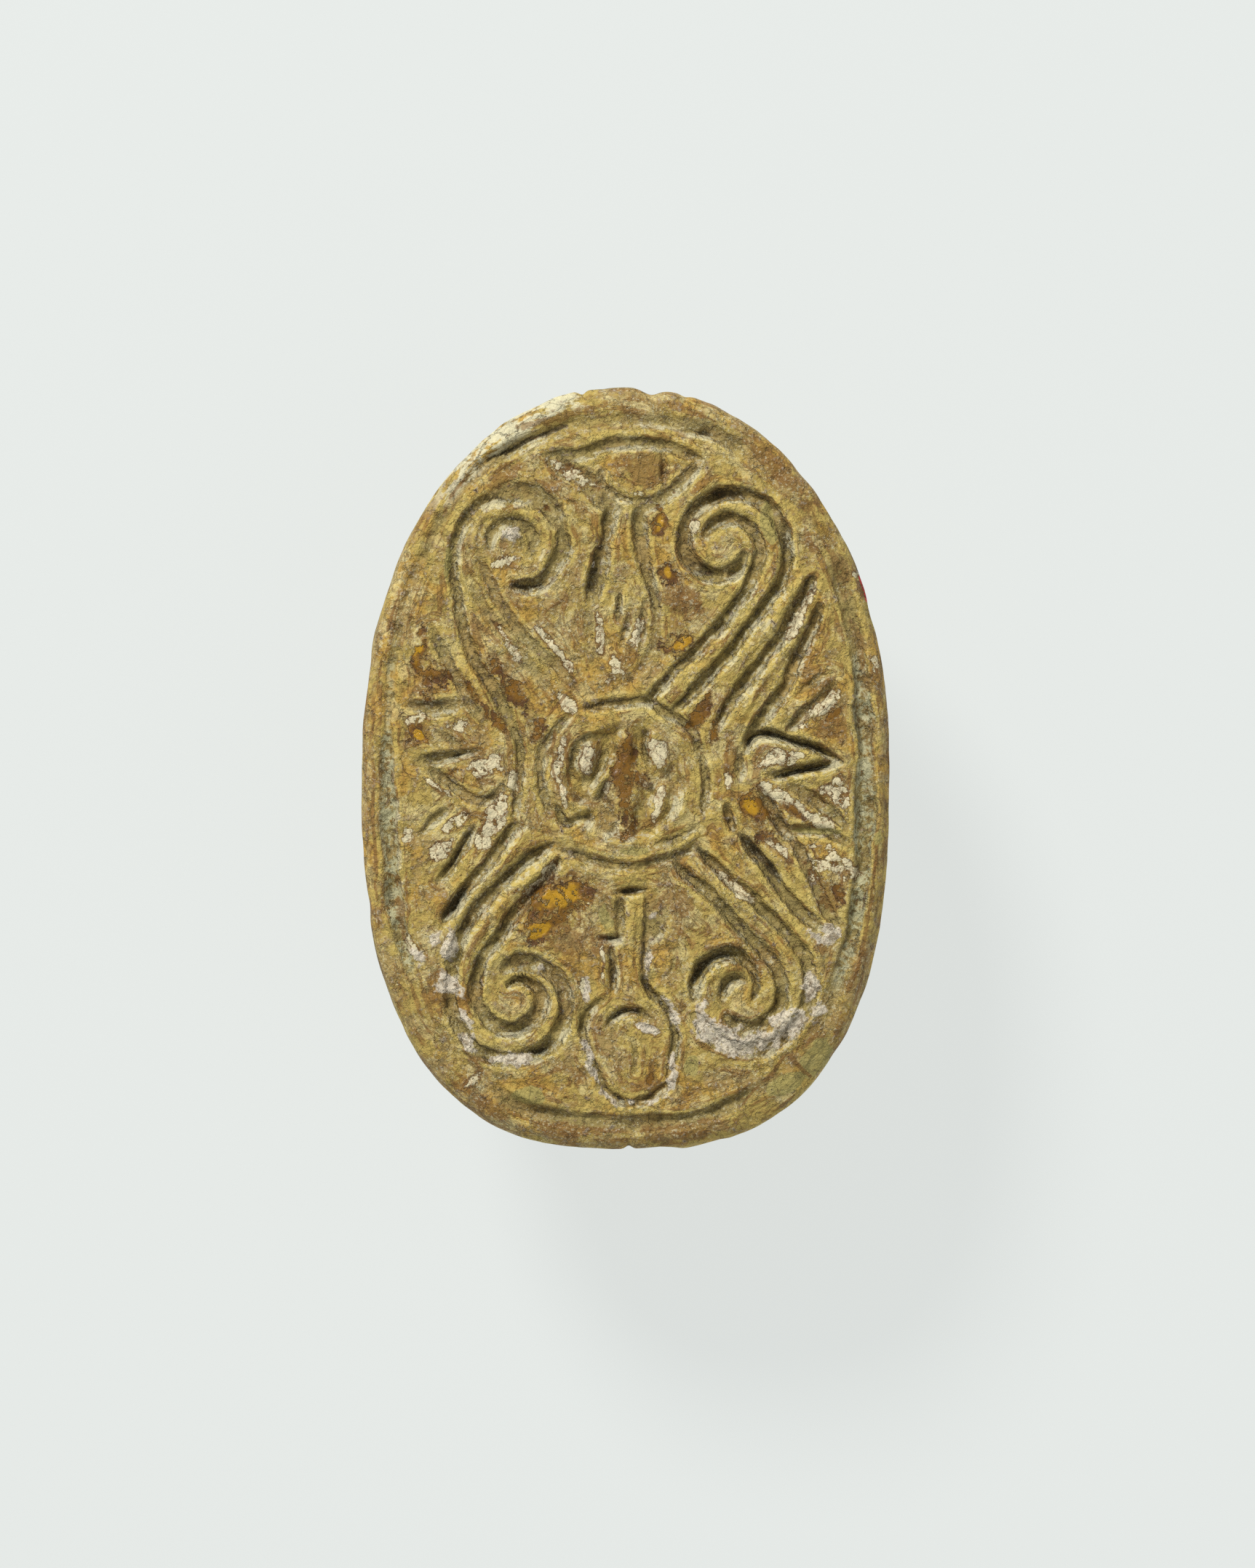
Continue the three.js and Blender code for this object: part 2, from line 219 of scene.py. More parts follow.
SCROLL_TAIL_LEFT = (
    ((0.28, 0.46), 0.4, [(-1.8, -2.4), (-2.1, -2.8), (-2.5, -3.3), (-3.0, -3.85), (-3.35, -4.4), (-3.75, -4.95)] +
     winding(-2.95, -5.95, (1.02, 0.65), (160, 385))),
    ((0.28, 0.52), 0.38, [(-2.0, -2.0), (-2.5, -2.3), (-2.9, -2.65), (-3.4, -3.15), (-3.8, -3.6), (-4.15, -4.1),
     (-4.45, -4.7)] + winding(-2.95, -6.1, (1.66, 1.42), (165, 330)) + winding(-2.9, -6.1, (1.36, 0.95), (350, 468))),
    (0.35, 0.34, [(-2.87, -1.42), (-3.27, -2.02), (-3.67, -2.53), (-4.07, -3.08), (-4.42, -3.58), (-4.77, -3.93)]),
    (0.28, 0.42, [(-3.1, -5.62), (-2.8, -5.55), (-2.5, -5.7), (-2.35, -6.0)]),
)
SCROLL_TAIL_RIGHT = (
    ((0.28, 0.36, 0.4), 0.4, [(1.3, -2.5), (1.7, -2.9), (2.1, -3.2), (2.6, -3.7), (2.97, -4.15), (3.4, -4.6),
     (3.77, -5.0), (4.0, -5.4), (4.07, -5.84), (3.99, -6.27), (3.67, -6.64), (3.29, -6.8), (2.97, -6.75),
     (2.6, -6.55)]),
    ((0.36, 0.42, 0.36, 0.2), 0.46, [(1.78, -5.95), (1.85, -5.47), (2.12, -5.09), (2.49, -4.9), (2.87, -4.85),
     (3.13, -5.05), (3.33, -5.36), (3.42, -5.6)]),
    ((0.28, 0.46), 0.38, [(1.9, -2.15), (2.4, -2.6), (2.8, -3.0), (3.3, -3.4), (3.6, -3.72), (3.99, -4.08),
     (4.41, -4.56), (4.68, -4.99)] + winding(3.1, -5.75, (1.72, 1.5), (0, -150))),
    ((0.34, 0.34, 0.42), 0.38, [(3.1, -1.85), (3.4, -2.25), (3.8, -2.8), (4.2, -3.3), (4.6, -3.75), (5.0, -4.15)]),
    (0.28, 0.42, [(2.5, -6.05), (2.56, -5.7), (2.78, -5.47), (3.02, -5.5)]),
    (0.18, 0.26, [(3.3, -5.6), (3.32, -6.0)]),
)
LEAVES = (
    (0.26, 0.42, [(3.1, 0.45), (3.3, 0.85), (3.7, 0.95), (4.3, 0.75), (4.9, 0.55), (5.3, 0.35), (5.6, 0.2)]),
    (0.24, 0.4, [(5.5, 0.18), (5.1, 0.08), (4.7, 0.0), (4.2, -0.12), (3.7, -0.2)]),
    (0.26, 0.22, [(2.9, 0.6), (2.95, 0.0), (2.9, -0.4)]),
    (0.3, 0.3, [(4.2, 1.1), (4.6, 1.45), (5.0, 1.8), (5.4, 2.2)]),
    (0.36, 0.28, [(4.3, -0.45), (4.9, -0.75), (5.4, -1.15), (5.75, -1.5)]),
    (0.36, 0.48, [(3.5, -0.55), (3.8, -1.1), (4.05, -1.5), (4.3, -1.85)]),
    (0.3, 0.3, [(4.1, -1.6), (4.9, -1.57), (5.4, -1.7), (5.8, -1.95)]),
    ((0.4, 0.34), 0.26, [(4.3, -1.9), (4.7, -2.5), (5.0, -3.1), (5.25, -3.7), (5.5, -4.2)]),
    (0.32, 0.4, [(2.62, -1.0), (2.7, -1.3), (2.82, -1.55)]),
    (0.44, 0.26, [(-5.6, 1.62), (-5.2, 1.58), (-4.8, 1.62), (-4.4, 1.72)]),
    (0.24, 0.18, [(-4.95, 0.95), (-4.6, 0.8), (-4.3, 0.65)]),
    ((0.4, 0.4, 0.2, 0.18), 0.22, [(-5.5, 0.15), (-5.1, 0.22), (-4.6, 0.33), (-4.1, 0.45), (-3.8, 0.5)]),
    (0.3, 0.24, [(-5.2, 0.0), (-4.7, -0.33), (-4.3, -0.63), (-3.9, -0.83), (-3.5, -0.78), (-3.3, -0.4)]),
    (0.24, 0.24, [(-4.62, -0.95), (-5.05, -1.3), (-5.4, -1.7)]),
    (0.28, 0.28, [(-4.0, -1.5), (-4.4, -2.2), (-4.7, -2.7), (-4.9, -2.95)]),
    (0.26, 0.22, [(-3.0, 1.3), (-2.8, 0.6), (-2.75, 0.0), (-2.85, -0.6), (-2.9, -1.3)]),
)
STEM = (
    ((0.36, 0.3), 0.26, [(-2.1, 8.15), (-1.5, 8.2), (-1.0, 8.3), (-0.5, 8.45), (0.2, 8.5), (1.0, 8.42), (1.5, 8.3),
     (1.95, 8.08)]),
    (0.52, 0.2, [(-1.9, 8.0), (-1.1, 7.62), (-0.6, 7.1), (-0.35, 6.8)]),
    (0.4, 0.24, [(1.9, 8.0), (1.4, 7.45), (0.95, 7.1), (0.6, 6.9), (0.42, 6.7)]),
    (0.2, 0.24, [(-0.72, 7.8), (-0.52, 7.35), (-0.1, 7.08), (0.4, 7.0), (0.9, 7.22)]),
    (0.18, 0.26, [(0.95, 8.25), (0.97, 7.8), (1.0, 7.42)]),
    (0.36, 0.36, [(-0.4, 6.95), (-0.47, 6.5), (-0.5, 6.05)]),
    ((0.4, 0.5, 0.44), 0.34, [(-0.55, 5.95), (-0.64, 5.5), (-0.73, 5.1), (-0.86, 4.35)]),
    ((0.5, 0.42, 0.32, 0.3), 0.28, [(0.33, 6.85), (0.34, 6.3), (0.48, 5.6), (0.6, 5.0), (0.75, 4.4), (0.82, 3.9)]),
    (0.26, 0.08, [(-0.97, 4.3), (-1.0, 3.8), (-0.9, 3.2), (-0.7, 2.6), (-0.4, 2.25)]),
    (0.26, 0.1, [(0.8, 4.0), (0.75, 3.5), (0.6, 3.0), (0.35, 2.65), (0.0, 2.3)]),
    (0.2, 0.28, [(-0.15, 4.7), (-0.2, 3.9)]),
    (0.18, 0.2, [(0.1, 4.1), (-0.1, 3.2)]),
    (0.18, 0.2, [(0.48, 4.4), (0.4, 3.2)]),
    (0.12, 0.18, [(0.0, 2.45), (0.25, 2.65)]),
)
ROUNDEL = (
    (0.27, 0.28, [(-1.15, 1.58), (-0.5, 1.7), (0.0, 1.75), (0.55, 1.75), (1.1, 1.42), (1.35, 1.3), (1.7, 1.0),
     (1.95, 0.45)]),
    (0.26, 0.2, [(-1.45, 1.45), (-1.85, 1.0), (-2.15, 0.5), (-2.22, 0.0), (-2.2, -0.6), (-2.05, -1.2)]),
    (0.24, 0.2, [(1.95, 0.45), (2.08, -0.1), (2.1, -0.5), (1.98, -1.2)]),
    (0.22, 0.14, [(-1.85, -2.15), (-1.2, -2.33), (-0.6, -2.46), (0.0, -2.5), (0.6, -2.48), (1.0, -2.4), (1.4, -2.25),
     (1.85, -2.05)]),
    (0.24, 0.26, [(0.75, -2.02), (1.4, -1.82), (1.78, -1.54)]),
    (0.3, 0.38, [(-1.85, -1.0), (-1.6, -1.4), (-1.3, -1.3)]),
    (0.2, 0.22, [(0.52, 0.92), (0.5, 0.5), (0.56, 0.1)]),
    (0.2, 0.18, [(-1.4, -0.2), (-1.42, 0.25), (-1.2, 0.75), (-0.75, 0.95)]),
    (0.22, 0.14, [(-0.55, 0.75), (-0.55, 0.3), (-0.72, -0.2), (-0.95, -0.45)]),
)
ROUNDEL_WELL = (-0.05, -0.36, 1.62, 1.56, 0.18)  # middle x, y, half width, half length, depth
# What stands in the well: width, height, places along it.
ISLANDS = (
    ((0.66, 0.36, 0.4, 1.05, 0.8, 0.5, 0.5), 0.2, [(-0.02, 0.98), (-0.02, 0.1), (-0.04, -0.8), (-0.04, -1.7)]),
    (0.34, 0.16, [(-0.42, -1.9), (-0.05, -1.9), (0.28, -1.9)]),
    (0.5, 0.18, [(0.74, 0.84), (0.85, 0.42), (0.98, 0.0)]),
    (0.44, 0.18, [(1.0, -0.44), (0.86, -0.8), (0.7, -1.26)]),
    (0.46, 0.2, [(-0.9, 0.62), (-0.98, 0.25), (-1.06, -0.1)]),
    (0.26, 0.22, [(-0.3, 0.3), (-0.4, 0.0), (-0.6, -0.28), (-0.9, -0.68)]),
    (0.54, 0.16, [(-0.86, -1.5), (-0.9, -1.72)]),
    (0.4, 0.12, [(1.4, -0.6), (1.42, -1.2)]),
    (0.34, 0.2, [(-1.6, -0.5), (-1.4, -0.9), (-1.05, -1.1)]),
    (0.4, 0.1, [(-1.8, -1.8), (-1.1, -2.05), (-0.2, -2.2), (0.6, -2.2), (1.1, -2.08), (1.8, -1.72)]),
)

LUTE = (
    (0.22, 0.26, [(-0.35, -3.25), (0.1, -3.2), (0.55, -3.15)]),
    (0.3, 0.26, [(-0.2, -3.3), (-0.17, -3.8), (-0.15, -4.45)]),
    (0.62, 0.2, [(0.7, -3.35), (0.75, -3.9), (0.7, -4.5)]),
    (0.6, 0.12, [(-0.55, -3.5), (-0.5, -4.0)]),
    (0.2, 0.26, [(-0.7, -4.43), (-0.15, -4.47)]),
    (0.2, 0.2, [(-0.36, -4.6), (-0.38, -5.2), (-0.36, -5.9)]),
    (0.24, 0.26, [(0.55, -3.3), (0.6, -3.9), (0.5, -4.6), (0.44, -5.1), (0.44, -5.5), (0.6, -5.85), (0.95, -6.1),
     (1.2, -6.4), (1.3, -6.8), (1.25, -7.3), (1.15, -7.8), (1.05, -8.2), (0.8, -8.45), (0.4, -8.65), (-0.1, -8.65),
     (-0.5, -8.45), (-0.7, -8.05), (-0.88, -7.6), (-1.02, -7.2), (-1.1, -6.8), (-0.95, -6.35), (-0.5, -6.0)]),
    (0.2, 0.2, [(-0.5, -6.8), (-0.3, -6.5), (0.0, -6.36), (0.4, -6.38), (0.75, -6.55)]),
    (0.26, 0.2, [(0.3, -6.68), (0.6, -6.75), (0.85, -6.85)]),
    (0.16, 0.18, [(0.15, -7.1), (0.2, -7.4), (0.2, -7.9)]),
    (0.14, 0.1, [(0.65, -4.7), (1.3, -4.75), (1.1, -5.3), (0.6, -5.5)]),
    (0.3, 0.1, [(-1.1, -6.0), (-1.1, -6.6)]),
)
STROKES = (
    SCROLL_HEAD_RIGHT + SCROLL_HEAD_LEFT + SCROLL_TAIL_LEFT + SCROLL_TAIL_RIGHT + LEAVES + STEM + ROUNDEL + LUTE
)

GRAVING = 0.63  # how much of its stated depth a stroke keeps under the wear
RIDGE_GAIN = 1.4  # how much higher than stated a ridge stands
DESIGN_SHIFT = (-0.03, 0.04)  # from the middle of the oval
DEEP = (
    (0.34, 0.09, [(-0.62, 6.2), (-0.72, 5.7), (-0.8, 5.1), (-0.92, 4.5)]),
    (0.14, 0.16, [(3.15, 0.5), (3.3, 0.85), (3.7, 0.95), (4.3, 0.75), (4.9, 0.55), (5.4, 0.3)]),
    (0.13, 0.16, [(5.4, 0.1), (4.7, -0.05), (4.2, -0.16), (3.75, -0.24)]),
    (0.24, 0.14, [(3.05, -1.8), (3.6, -2.4), (4.1, -3.05)]),
    (0.29, 0.14, [(-2.2, 4.82), (-2.6, 4.76), (-2.98, 4.86)]),
    (0.31, 0.12, [(2.1, 7.08), (2.6, 7.2), (3.15, 7.12)]),
    (0.29, 0.11, [(1.62, 5.55), (1.95, 5.25), (2.45, 5.12)]),
    (0.22, 0.12, [(4.15, 6.4), (4.22, 5.9), (4.15, 5.5)]),
    (0.26, 0.14, [(-2.75, -7.45), (-2.3, -7.42), (-1.95, -7.2)]),
    (0.26, 0.12, [(-3.35, -6.75), (-2.95, -6.88), (-2.6, -6.78)]),
    (0.31, 0.14, [(-4.1, -3.05), (-4.45, -3.55), (-4.8, -3.9)]),
    (0.24, 0.12, [(1.72, -5.85), (1.75, -5.55), (2.05, -5.15), (2.45, -4.9), (2.85, -4.87)]),
    (0.22, 0.12, [(3.4, -5.45), (3.45, -5.75), (3.3, -6.0)]),
    (0.2, 0.14, [(1.55, 8.28), (1.92, 8.08)]),
    (0.16, 0.14, [(-3.8, 7.95), (-3.0, 8.4), (-2.0, 8.85), (-1.4, 9.1)]),
    (0.17, 0.14, [(1.6, 8.87), (2.35, 8.65)]),
    (0.15, 0.14, [(2.75, 8.5), (3.1, 8.38)]),
    (0.22, 0.16, [(-0.72, -4.42), (-0.15, -4.47)]),
    (0.16, 0.1, [(-0.36, -4.6), (-0.38, -5.2), (-0.36, -5.9)]),
    (0.16, 0.1, [(-0.5, -6.75), (-0.3, -6.5), (0.0, -6.36), (0.4, -6.38), (0.75, -6.55)]),
    (0.16, 0.1, [(0.45, -5.3), (0.48, -5.7), (0.8, -6.0), (1.15, -6.35)]),
    (0.16, 0.1, [(-0.6, -8.3), (-0.1, -8.65), (0.5, -8.62)]),
    (0.16, 0.08, [(-1.02, -7.2), (-1.1, -6.8), (-0.98, -6.4)]),
    (0.22, 0.11, [(0.45, 1.78), (0.75, 1.68)]),
    (0.2, 0.11, [(1.15, 1.4), (1.4, 1.28)]),
    (0.17, 0.12, [(2.62, -1.1), (2.72, -1.35), (2.82, -1.5)]),
    (0.22, 0.11, [(-0.3, -3.24), (0.1, -3.18), (0.5, -3.14)]),
    (0.17, 0.11, [(-1.7, -1.3), (-1.5, -1.47), (-1.4, -1.35)]),
    (0.22, 0.1, [(2.8, -1.55), (3.35, -2.2)]),
    (0.2, 0.09, [(-1.72, 8.15), (-1.2, 7.75)]),
    (0.24, 0.08, [(-4.5, 5.5), (-4.5, 5.1), (-4.45, 4.7)]),
    (0.1, 0.1, [(-5.2, 0.12), (-4.6, 0.26), (-3.9, 0.5)]),
    (0.12, 0.12, [(-3.74, 6.85), (-3.4, 7.1), (-3.1, 7.0), (-2.67, 6.98)]),
    (0.14, 0.1, [(-4.05, -1.55), (-4.4, -2.15), (-4.8, -2.85)]),
)

# Thin ridges left standing or pushed up beside a stroke: width, height, places along each.
RIDGES = (
    (0.26, 0.05, [(3.25, 4.2), (3.6, 4.6), (3.88, 5.2), (3.95, 5.75)]),
    (0.22, 0.05, [(2.85, 6.3), (3.1, 6.0), (3.2, 5.6), (3.1, 5.3), (2.9, 5.05)]),
    (0.18, 0.05, [(1.55, 5.2), (2.0, 4.97), (2.5, 4.87), (2.95, 5.0)]),
    (0.28, 0.05, [(2.5, 2.4), (3.4, 3.3), (3.9, 3.9), (4.3, 4.6), (4.8, 5.3)]),
    (0.24, 0.05, [(2.8, 1.0), (3.5, 2.2), (4.0, 2.9), (4.4, 3.5), (5.0, 4.6)]),
    (0.24, 0.06, [(-3.95, 5.5), (-3.98, 6.0), (-3.8, 6.5), (-3.4, 6.72), (-3.0, 6.77), (-2.5, 6.65), (-2.15, 6.35),
     (-2.0, 5.95), (-2.1, 5.5), (-2.35, 5.12), (-2.7, 4.98)]),
    (0.28, 0.05, [(-2.35, -1.2), (-3.0, -2.2), (-3.7, -2.9), (-4.3, -3.7), (-4.9, -4.5)]),
    (0.26, 0.05, [(-1.9, -2.35), (-2.6, -2.9), (-3.3, -3.6), (-3.9, -4.4), (-4.2, -5.1)]),
    (0.22, 0.05, [(-1.85, -6.5), (-1.82, -6.0), (-2.0, -5.6), (-2.5, -5.35), (-2.9, -5.5)]),
    (0.26, 0.05, [(1.6, -2.35), (2.2, -2.9), (3.0, -3.5), (3.6, -4.1), (4.0, -4.8), (4.35, -5.4), (4.45, -6.1)]),
    (0.24, 0.05, [(2.1, -6.05), (2.15, -5.6), (2.5, -5.25), (3.0, -5.2)]),
    (0.2, 0.05, [(-1.5, -2.58), (-0.7, -2.8), (0.2, -2.8), (0.9, -2.7)]),
    (0.24, 0.04, [(0.15, -3.4), (0.2, -4.0), (0.1, -4.8), (0.0, -5.6)]),
    (0.2, 0.04, [(-0.1, 6.7), (-0.1, 6.0), (-0.1, 5.2)]),
    (0.2, 0.06, [(-5.45, -0.12), (-5.1, -0.38), (-4.7, -0.67)]),
    (0.18, 0.05, [(-0.6, -4.55), (-0.6, -5.2), (-0.6, -5.8)]),
    (0.24, 0.04, [(-1.9, 7.9), (-1.1, 7.6), (-0.6, 7.15)]),
)

# Patches: middle x, y, half length, half width, turn in degrees.
AMBER_PATCHES = (
    (-1.9, -3.6, 0.95, 0.75, 15), (-2.2, -4.3, 0.55, 0.3, 30), (-1.2, -3.2, 0.5, 0.35, -20),
    (1.38, 3.3, 0.55, 0.42, 30), (-5.35, 3.55, 0.3, 0.16, 75), (-5.35, 3.0, 0.4, 0.24, 80),
    (-5.15, 2.35, 0.6, 0.5, 30), (-5.35, 0.85, 0.4, 0.34, 0), (0.0, 0.45, 0.8, 0.3, 90), (-0.02, -0.45, 0.6, 0.6, 90),
    (-2.3, 1.0, 0.5, 0.28, 65), (-3.02, 2.12, 1.1, 0.24, 127), (-3.75, 1.75, 0.95, 0.2, 127),
    (1.95, 1.6, 0.62, 0.2, 60), (3.4, -1.25, 0.85, 0.4, -60), (5.55, -3.2, 0.5, 0.22, -75),
    (4.4, -1.1, 0.5, 0.14, -35), (0.9, 6.55, 0.45, 0.24, 90), (6.2, 4.7, 0.3, 0.12, 110), (1.1, 5.2, 0.4, 0.24, 90),
    (0.6, -8.1, 0.16, 0.1, 60), (-2.1, 6.9, 0.3, 0.12, -50), (-5.55, 2.7, 0.3, 0.14, 80), (5.4, 1.4, 0.4, 0.14, 40),
    (-4.5, -0.1, 0.35, 0.1, 25), (2.3, 1.0, 0.4, 0.16, 80), (-0.05, -1.2, 0.65, 0.34, 90),
)
BROWN_PATCHES = (
    (-1.6, -3.0, 0.55, 0.2, 10), (-3.2, 5.85, 0.16, 0.16, 0), (4.75, 6.8, 0.3, 0.16, -40),
    (4.75, 6.15, 0.4, 0.1, -70), (-0.05, -1.35, 0.38, 0.12, 90), (5.3, 1.0, 0.5, 0.3, 20), (1.3, -3.4, 0.6, 0.45, 0),
    (1.5, 4.4, 0.5, 0.45, 0), (-1.3, -4.5, 0.8, 0.5, 0), (5.4, -0.6, 0.4, 0.3, 0), (5.3, -3.3, 0.5, 0.3, -60),
    (-3.6, -1.4, 0.3, 0.25, 0), (1.1, -9.6, 0.9, 0.16, 5), (-1.8, 9.2, 1.0, 0.12, 15), (1.6, 9.35, 0.6, 0.1, -15),
    (-3.7, -0.3, 0.22, 0.12, 0), (-3.2, 7.7, 0.5, 0.2, 35), (4.2, 7.6, 0.9, 0.2, -45), (0.3, -8.3, 0.5, 0.2, 0),
    (3.6, 8.3, 0.8, 0.12, -30), (-1.5, -9.4, 1.1, 0.16, -6), (1.4, -9.42, 1.3, 0.18, 7),
    (-3.6, -8.75, 0.9, 0.16, -28), (-1.3, -8.1, 0.2, 0.12, 0), (-5.0, 2.35, 0.4, 0.25, 20), (2.7, 0.2, 0.5, 0.14, 90),
    (0.5, 7.6, 0.5, 0.3, 0), (0.5, 7.9, 0.6, 0.3, 0), (-4.9, -5.6, 0.6, 0.3, 100), (-5.9, -3.7, 0.8, 0.16, 100),
)
WHITE_PATCHES = (
    (-1.58, 1.68, 0.42, 0.2, -50), (-4.4, 1.2, 0.3, 0.2, 0), (-3.85, 0.1, 0.6, 0.3, 10), (-3.6, -1.5, 0.75, 0.28, 60),
    (-5.7, -1.75, 0.4, 0.2, 80), (-0.98, 0.25, 0.4, 0.22, 80), (-1.7, -0.6, 0.4, 0.14, 100),
    (0.86, -0.85, 0.5, 0.18, 72), (-1.68, 0.5, 0.7, 0.16, 75), (5.6, -0.5, 0.6, 0.36, -30),
    (5.75, -0.9, 0.5, 0.24, 90), (5.4, -2.5, 0.6, 0.4, -20), (4.6, -1.05, 1.15, 0.26, -32),
    (6.05, 5.1, 0.16, 0.12, 0), (6.5, 2.75, 0.12, 0.2, 0), (-1.1, -5.6, 0.3, 0.18, 90), (-5.5, 1.25, 0.3, 0.14, 20),
    (-3.2, 5.4, 0.3, 0.16, 20), (0.35, 7.2, 0.2, 0.12, 0), (1.85, 6.4, 0.2, 0.24, 0), (-3.95, -8.1, 0.3, 0.14, 30),
    (5.1, 1.6, 0.6, 0.2, 42), (0.86, 0.4, 0.4, 0.2, 105), (4.1, 0.3, 0.9, 0.24, 5), (-2.3, 1.25, 0.2, 0.12, 0),
    (-4.45, -1.35, 0.5, 0.24, 45), (-0.48, -0.5, 0.3, 0.12, 70), (0.42, -0.4, 0.24, 0.12, 110),
    (-5.6, -4.6, 0.4, 0.14, 110), (2.8, -3.1, 0.7, 0.14, -42), (-1.9, 3.2, 0.7, 0.14, 128), (-0.3, 2.7, 0.4, 0.3, 90),
    (0.3, 3.5, 0.5, 0.16, 80), (-0.7, 3.5, 0.6, 0.12, 95), (4.6, 4.1, 0.7, 0.14, 60), (-2.3, -2.9, 0.6, 0.14, 50),
    (-2.95, -0.2, 0.5, 0.16, 90), (2.65, -0.4, 0.5, 0.14, 90), (-4.85, -2.1, 0.4, 0.2, 40),
    (-2.7, 1.9, 0.2, 0.1, 120), (-3.2, 3.4, 0.6, 0.1, 125), (3.9, -2.05, 0.7, 0.16, -50), (5.3, -2.55, 0.6, 0.4, -25),
    (-5.05, -0.4, 0.5, 0.1, -37), (-0.6, -5.2, 0.5, 0.08, 90), (-1.4, 7.75, 0.6, 0.16, -25),
)
CRUST_PATCHES = (
    (2.0, -6.6, 0.55, 0.28, -60), (2.6, -7.1, 0.7, 0.4, -15), (3.45, -7.1, 0.7, 0.36, 12),
    (4.15, -6.7, 0.6, 0.34, 48), (4.85, -5.85, 0.45, 0.28, 85), (4.55, -6.5, 0.3, 0.2, 70),
    (5.3, -4.3, 0.34, 0.28, 0), (4.85, -4.3, 0.4, 0.12, -40), (-4.6, -4.7, 0.6, 0.26, 65), (-5.0, -4.4, 0.4, 0.2, 60),
    (-4.5, -5.7, 0.45, 0.28, 20), (-4.1, -7.25, 0.5, 0.22, -45), (-3.15, -7.6, 0.55, 0.24, 5),
    (-2.25, -5.2, 0.14, 0.12, 0), (0.55, -6.75, 0.3, 0.12, -10), (1.15, -6.1, 0.3, 0.09, -40),
    (1.2, -7.6, 0.45, 0.08, 85), (-0.8, -8.0, 0.4, 0.08, -60), (0.3, -8.66, 0.4, 0.08, 0),
    (-0.85, 5.4, 0.12, 0.06, 90), (-5.35, -5.0, 0.3, 0.3, 0), (-3.0, 6.15, 0.36, 0.2, 20),
    (-1.0, -5.6, 0.4, 0.14, 90), (0.7, -3.85, 0.12, 0.1, 0), (0.55, -5.0, 0.4, 0.09, 80), (2.65, -1.3, 0.1, 0.08, 0),
    (4.8, -5.75, 0.5, 0.32, 85), (-4.2, -6.6, 0.4, 0.12, -60), (1.3, -6.5, 0.4, 0.14, -70),
    (1.2, -8.0, 0.35, 0.13, 70), (0.7, -8.65, 0.35, 0.12, 20), (-0.5, -8.5, 0.4, 0.14, -45),
    (-0.95, -7.4, 0.3, 0.12, -70), (5.0, -6.2, 0.4, 0.22, 70),
)
HONEY_PATCHES = (
    (-1.75, -3.4, 0.55, 0.34, 25), (-2.3, -4.25, 0.3, 0.2, 30), (1.4, 3.3, 0.36, 0.22, 30),
    (3.25, -1.05, 0.3, 0.14, -60), (-5.4, 0.85, 0.16, 0.16, 0), (-5.4, 3.2, 0.4, 0.16, 80), (1.1, 5.2, 0.2, 0.1, 90),
    (0.9, 6.5, 0.2, 0.1, 90),
)
OLIVE_PATCHES = (
    (4.95, -7.5, 0.6, 0.34, 50), (4.15, -8.25, 0.5, 0.3, 30), (-2.5, -8.55, 0.42, 0.18, -12),
    (6.6, -1.75, 0.3, 0.08, 90), (0.15, -2.12, 0.38, 0.1, 0), (1.7, -7.7, 0.42, 0.18, 90),
    (-4.65, 5.4, 0.5, 0.12, 85), (3.75, 6.4, 0.5, 0.2, 100), (-0.55, -3.8, 0.5, 0.22, 90), (4.95, -1.6, 0.8, 0.08, 0),
)
# Traces of ink, and brown lines in cracks and scratches: width, places along each.
INK = (
    (0.16, [(5.98, 5.75), (6.2, 5.2), (6.35, 4.75), (6.46, 4.35)]),
    (0.12, [(6.5, 4.15), (6.6, 3.7)]),
    (0.05, [(6.68, -4.8), (6.7, -5.1)]),
)
BROWN_LINES = (
    (0.13, [(3.5, -8.25), (3.85, -7.85), (4.15, -7.5), (4.45, -7.75), (4.85, -8.1)]),
    (0.1, [(5.1, -6.85), (4.6, -7.25), (4.15, -7.5)]),
    (0.1, [(3.0, -8.9), (3.3, -8.5), (3.5, -8.25)]),
    (0.12, [(-4.9, 6.6), (-4.5, 7.2), (-4.0, 7.75)]),
    (0.12, [(-6.65, -0.5), (-6.6, -2.2), (-6.4, -3.8)]),
    (0.1, [(-6.45, 1.8), (-6.3, 3.4), (-6.0, 4.6)]),
    (0.12, [(6.55, -2.4), (6.3, -4.2), (5.9, -5.6)]),
    (0.1, [(-2.05, 1.35), (-1.5, 2.05), (-1.25, 1.5)]),
    (0.1, [(-1.85, 1.1), (-1.9, 0.2), (-1.75, -0.7)]),
    (0.1, [(-1.5, 1.1), (-1.55, 0.3), (-1.4, -0.6)]),
)
# Facets broken from the edge: a place on each, the way it faces in plan, in degrees, and its slope down that way.
CHIPS = (
    ((4.75, -7.05), -52, 22),
    ((3.7, -8.2), -66, 18),
    ((-4.35, 8.05), 118, 12),
    ((-2.5, -8.75), -105, 7),
    ((6.45, 2.75), 8, 30),
)
CHIP_SPREAD = 1.15  # how far each reaches along the edge from its middle
CHIP_REACH = 0.4  # and how far inward

# The groove inside the edge: half width, half length to the head end and to the tail end, squareness of each end.
BORDER = (6.25, 9.1, 9.25, 2.4, 2.6)
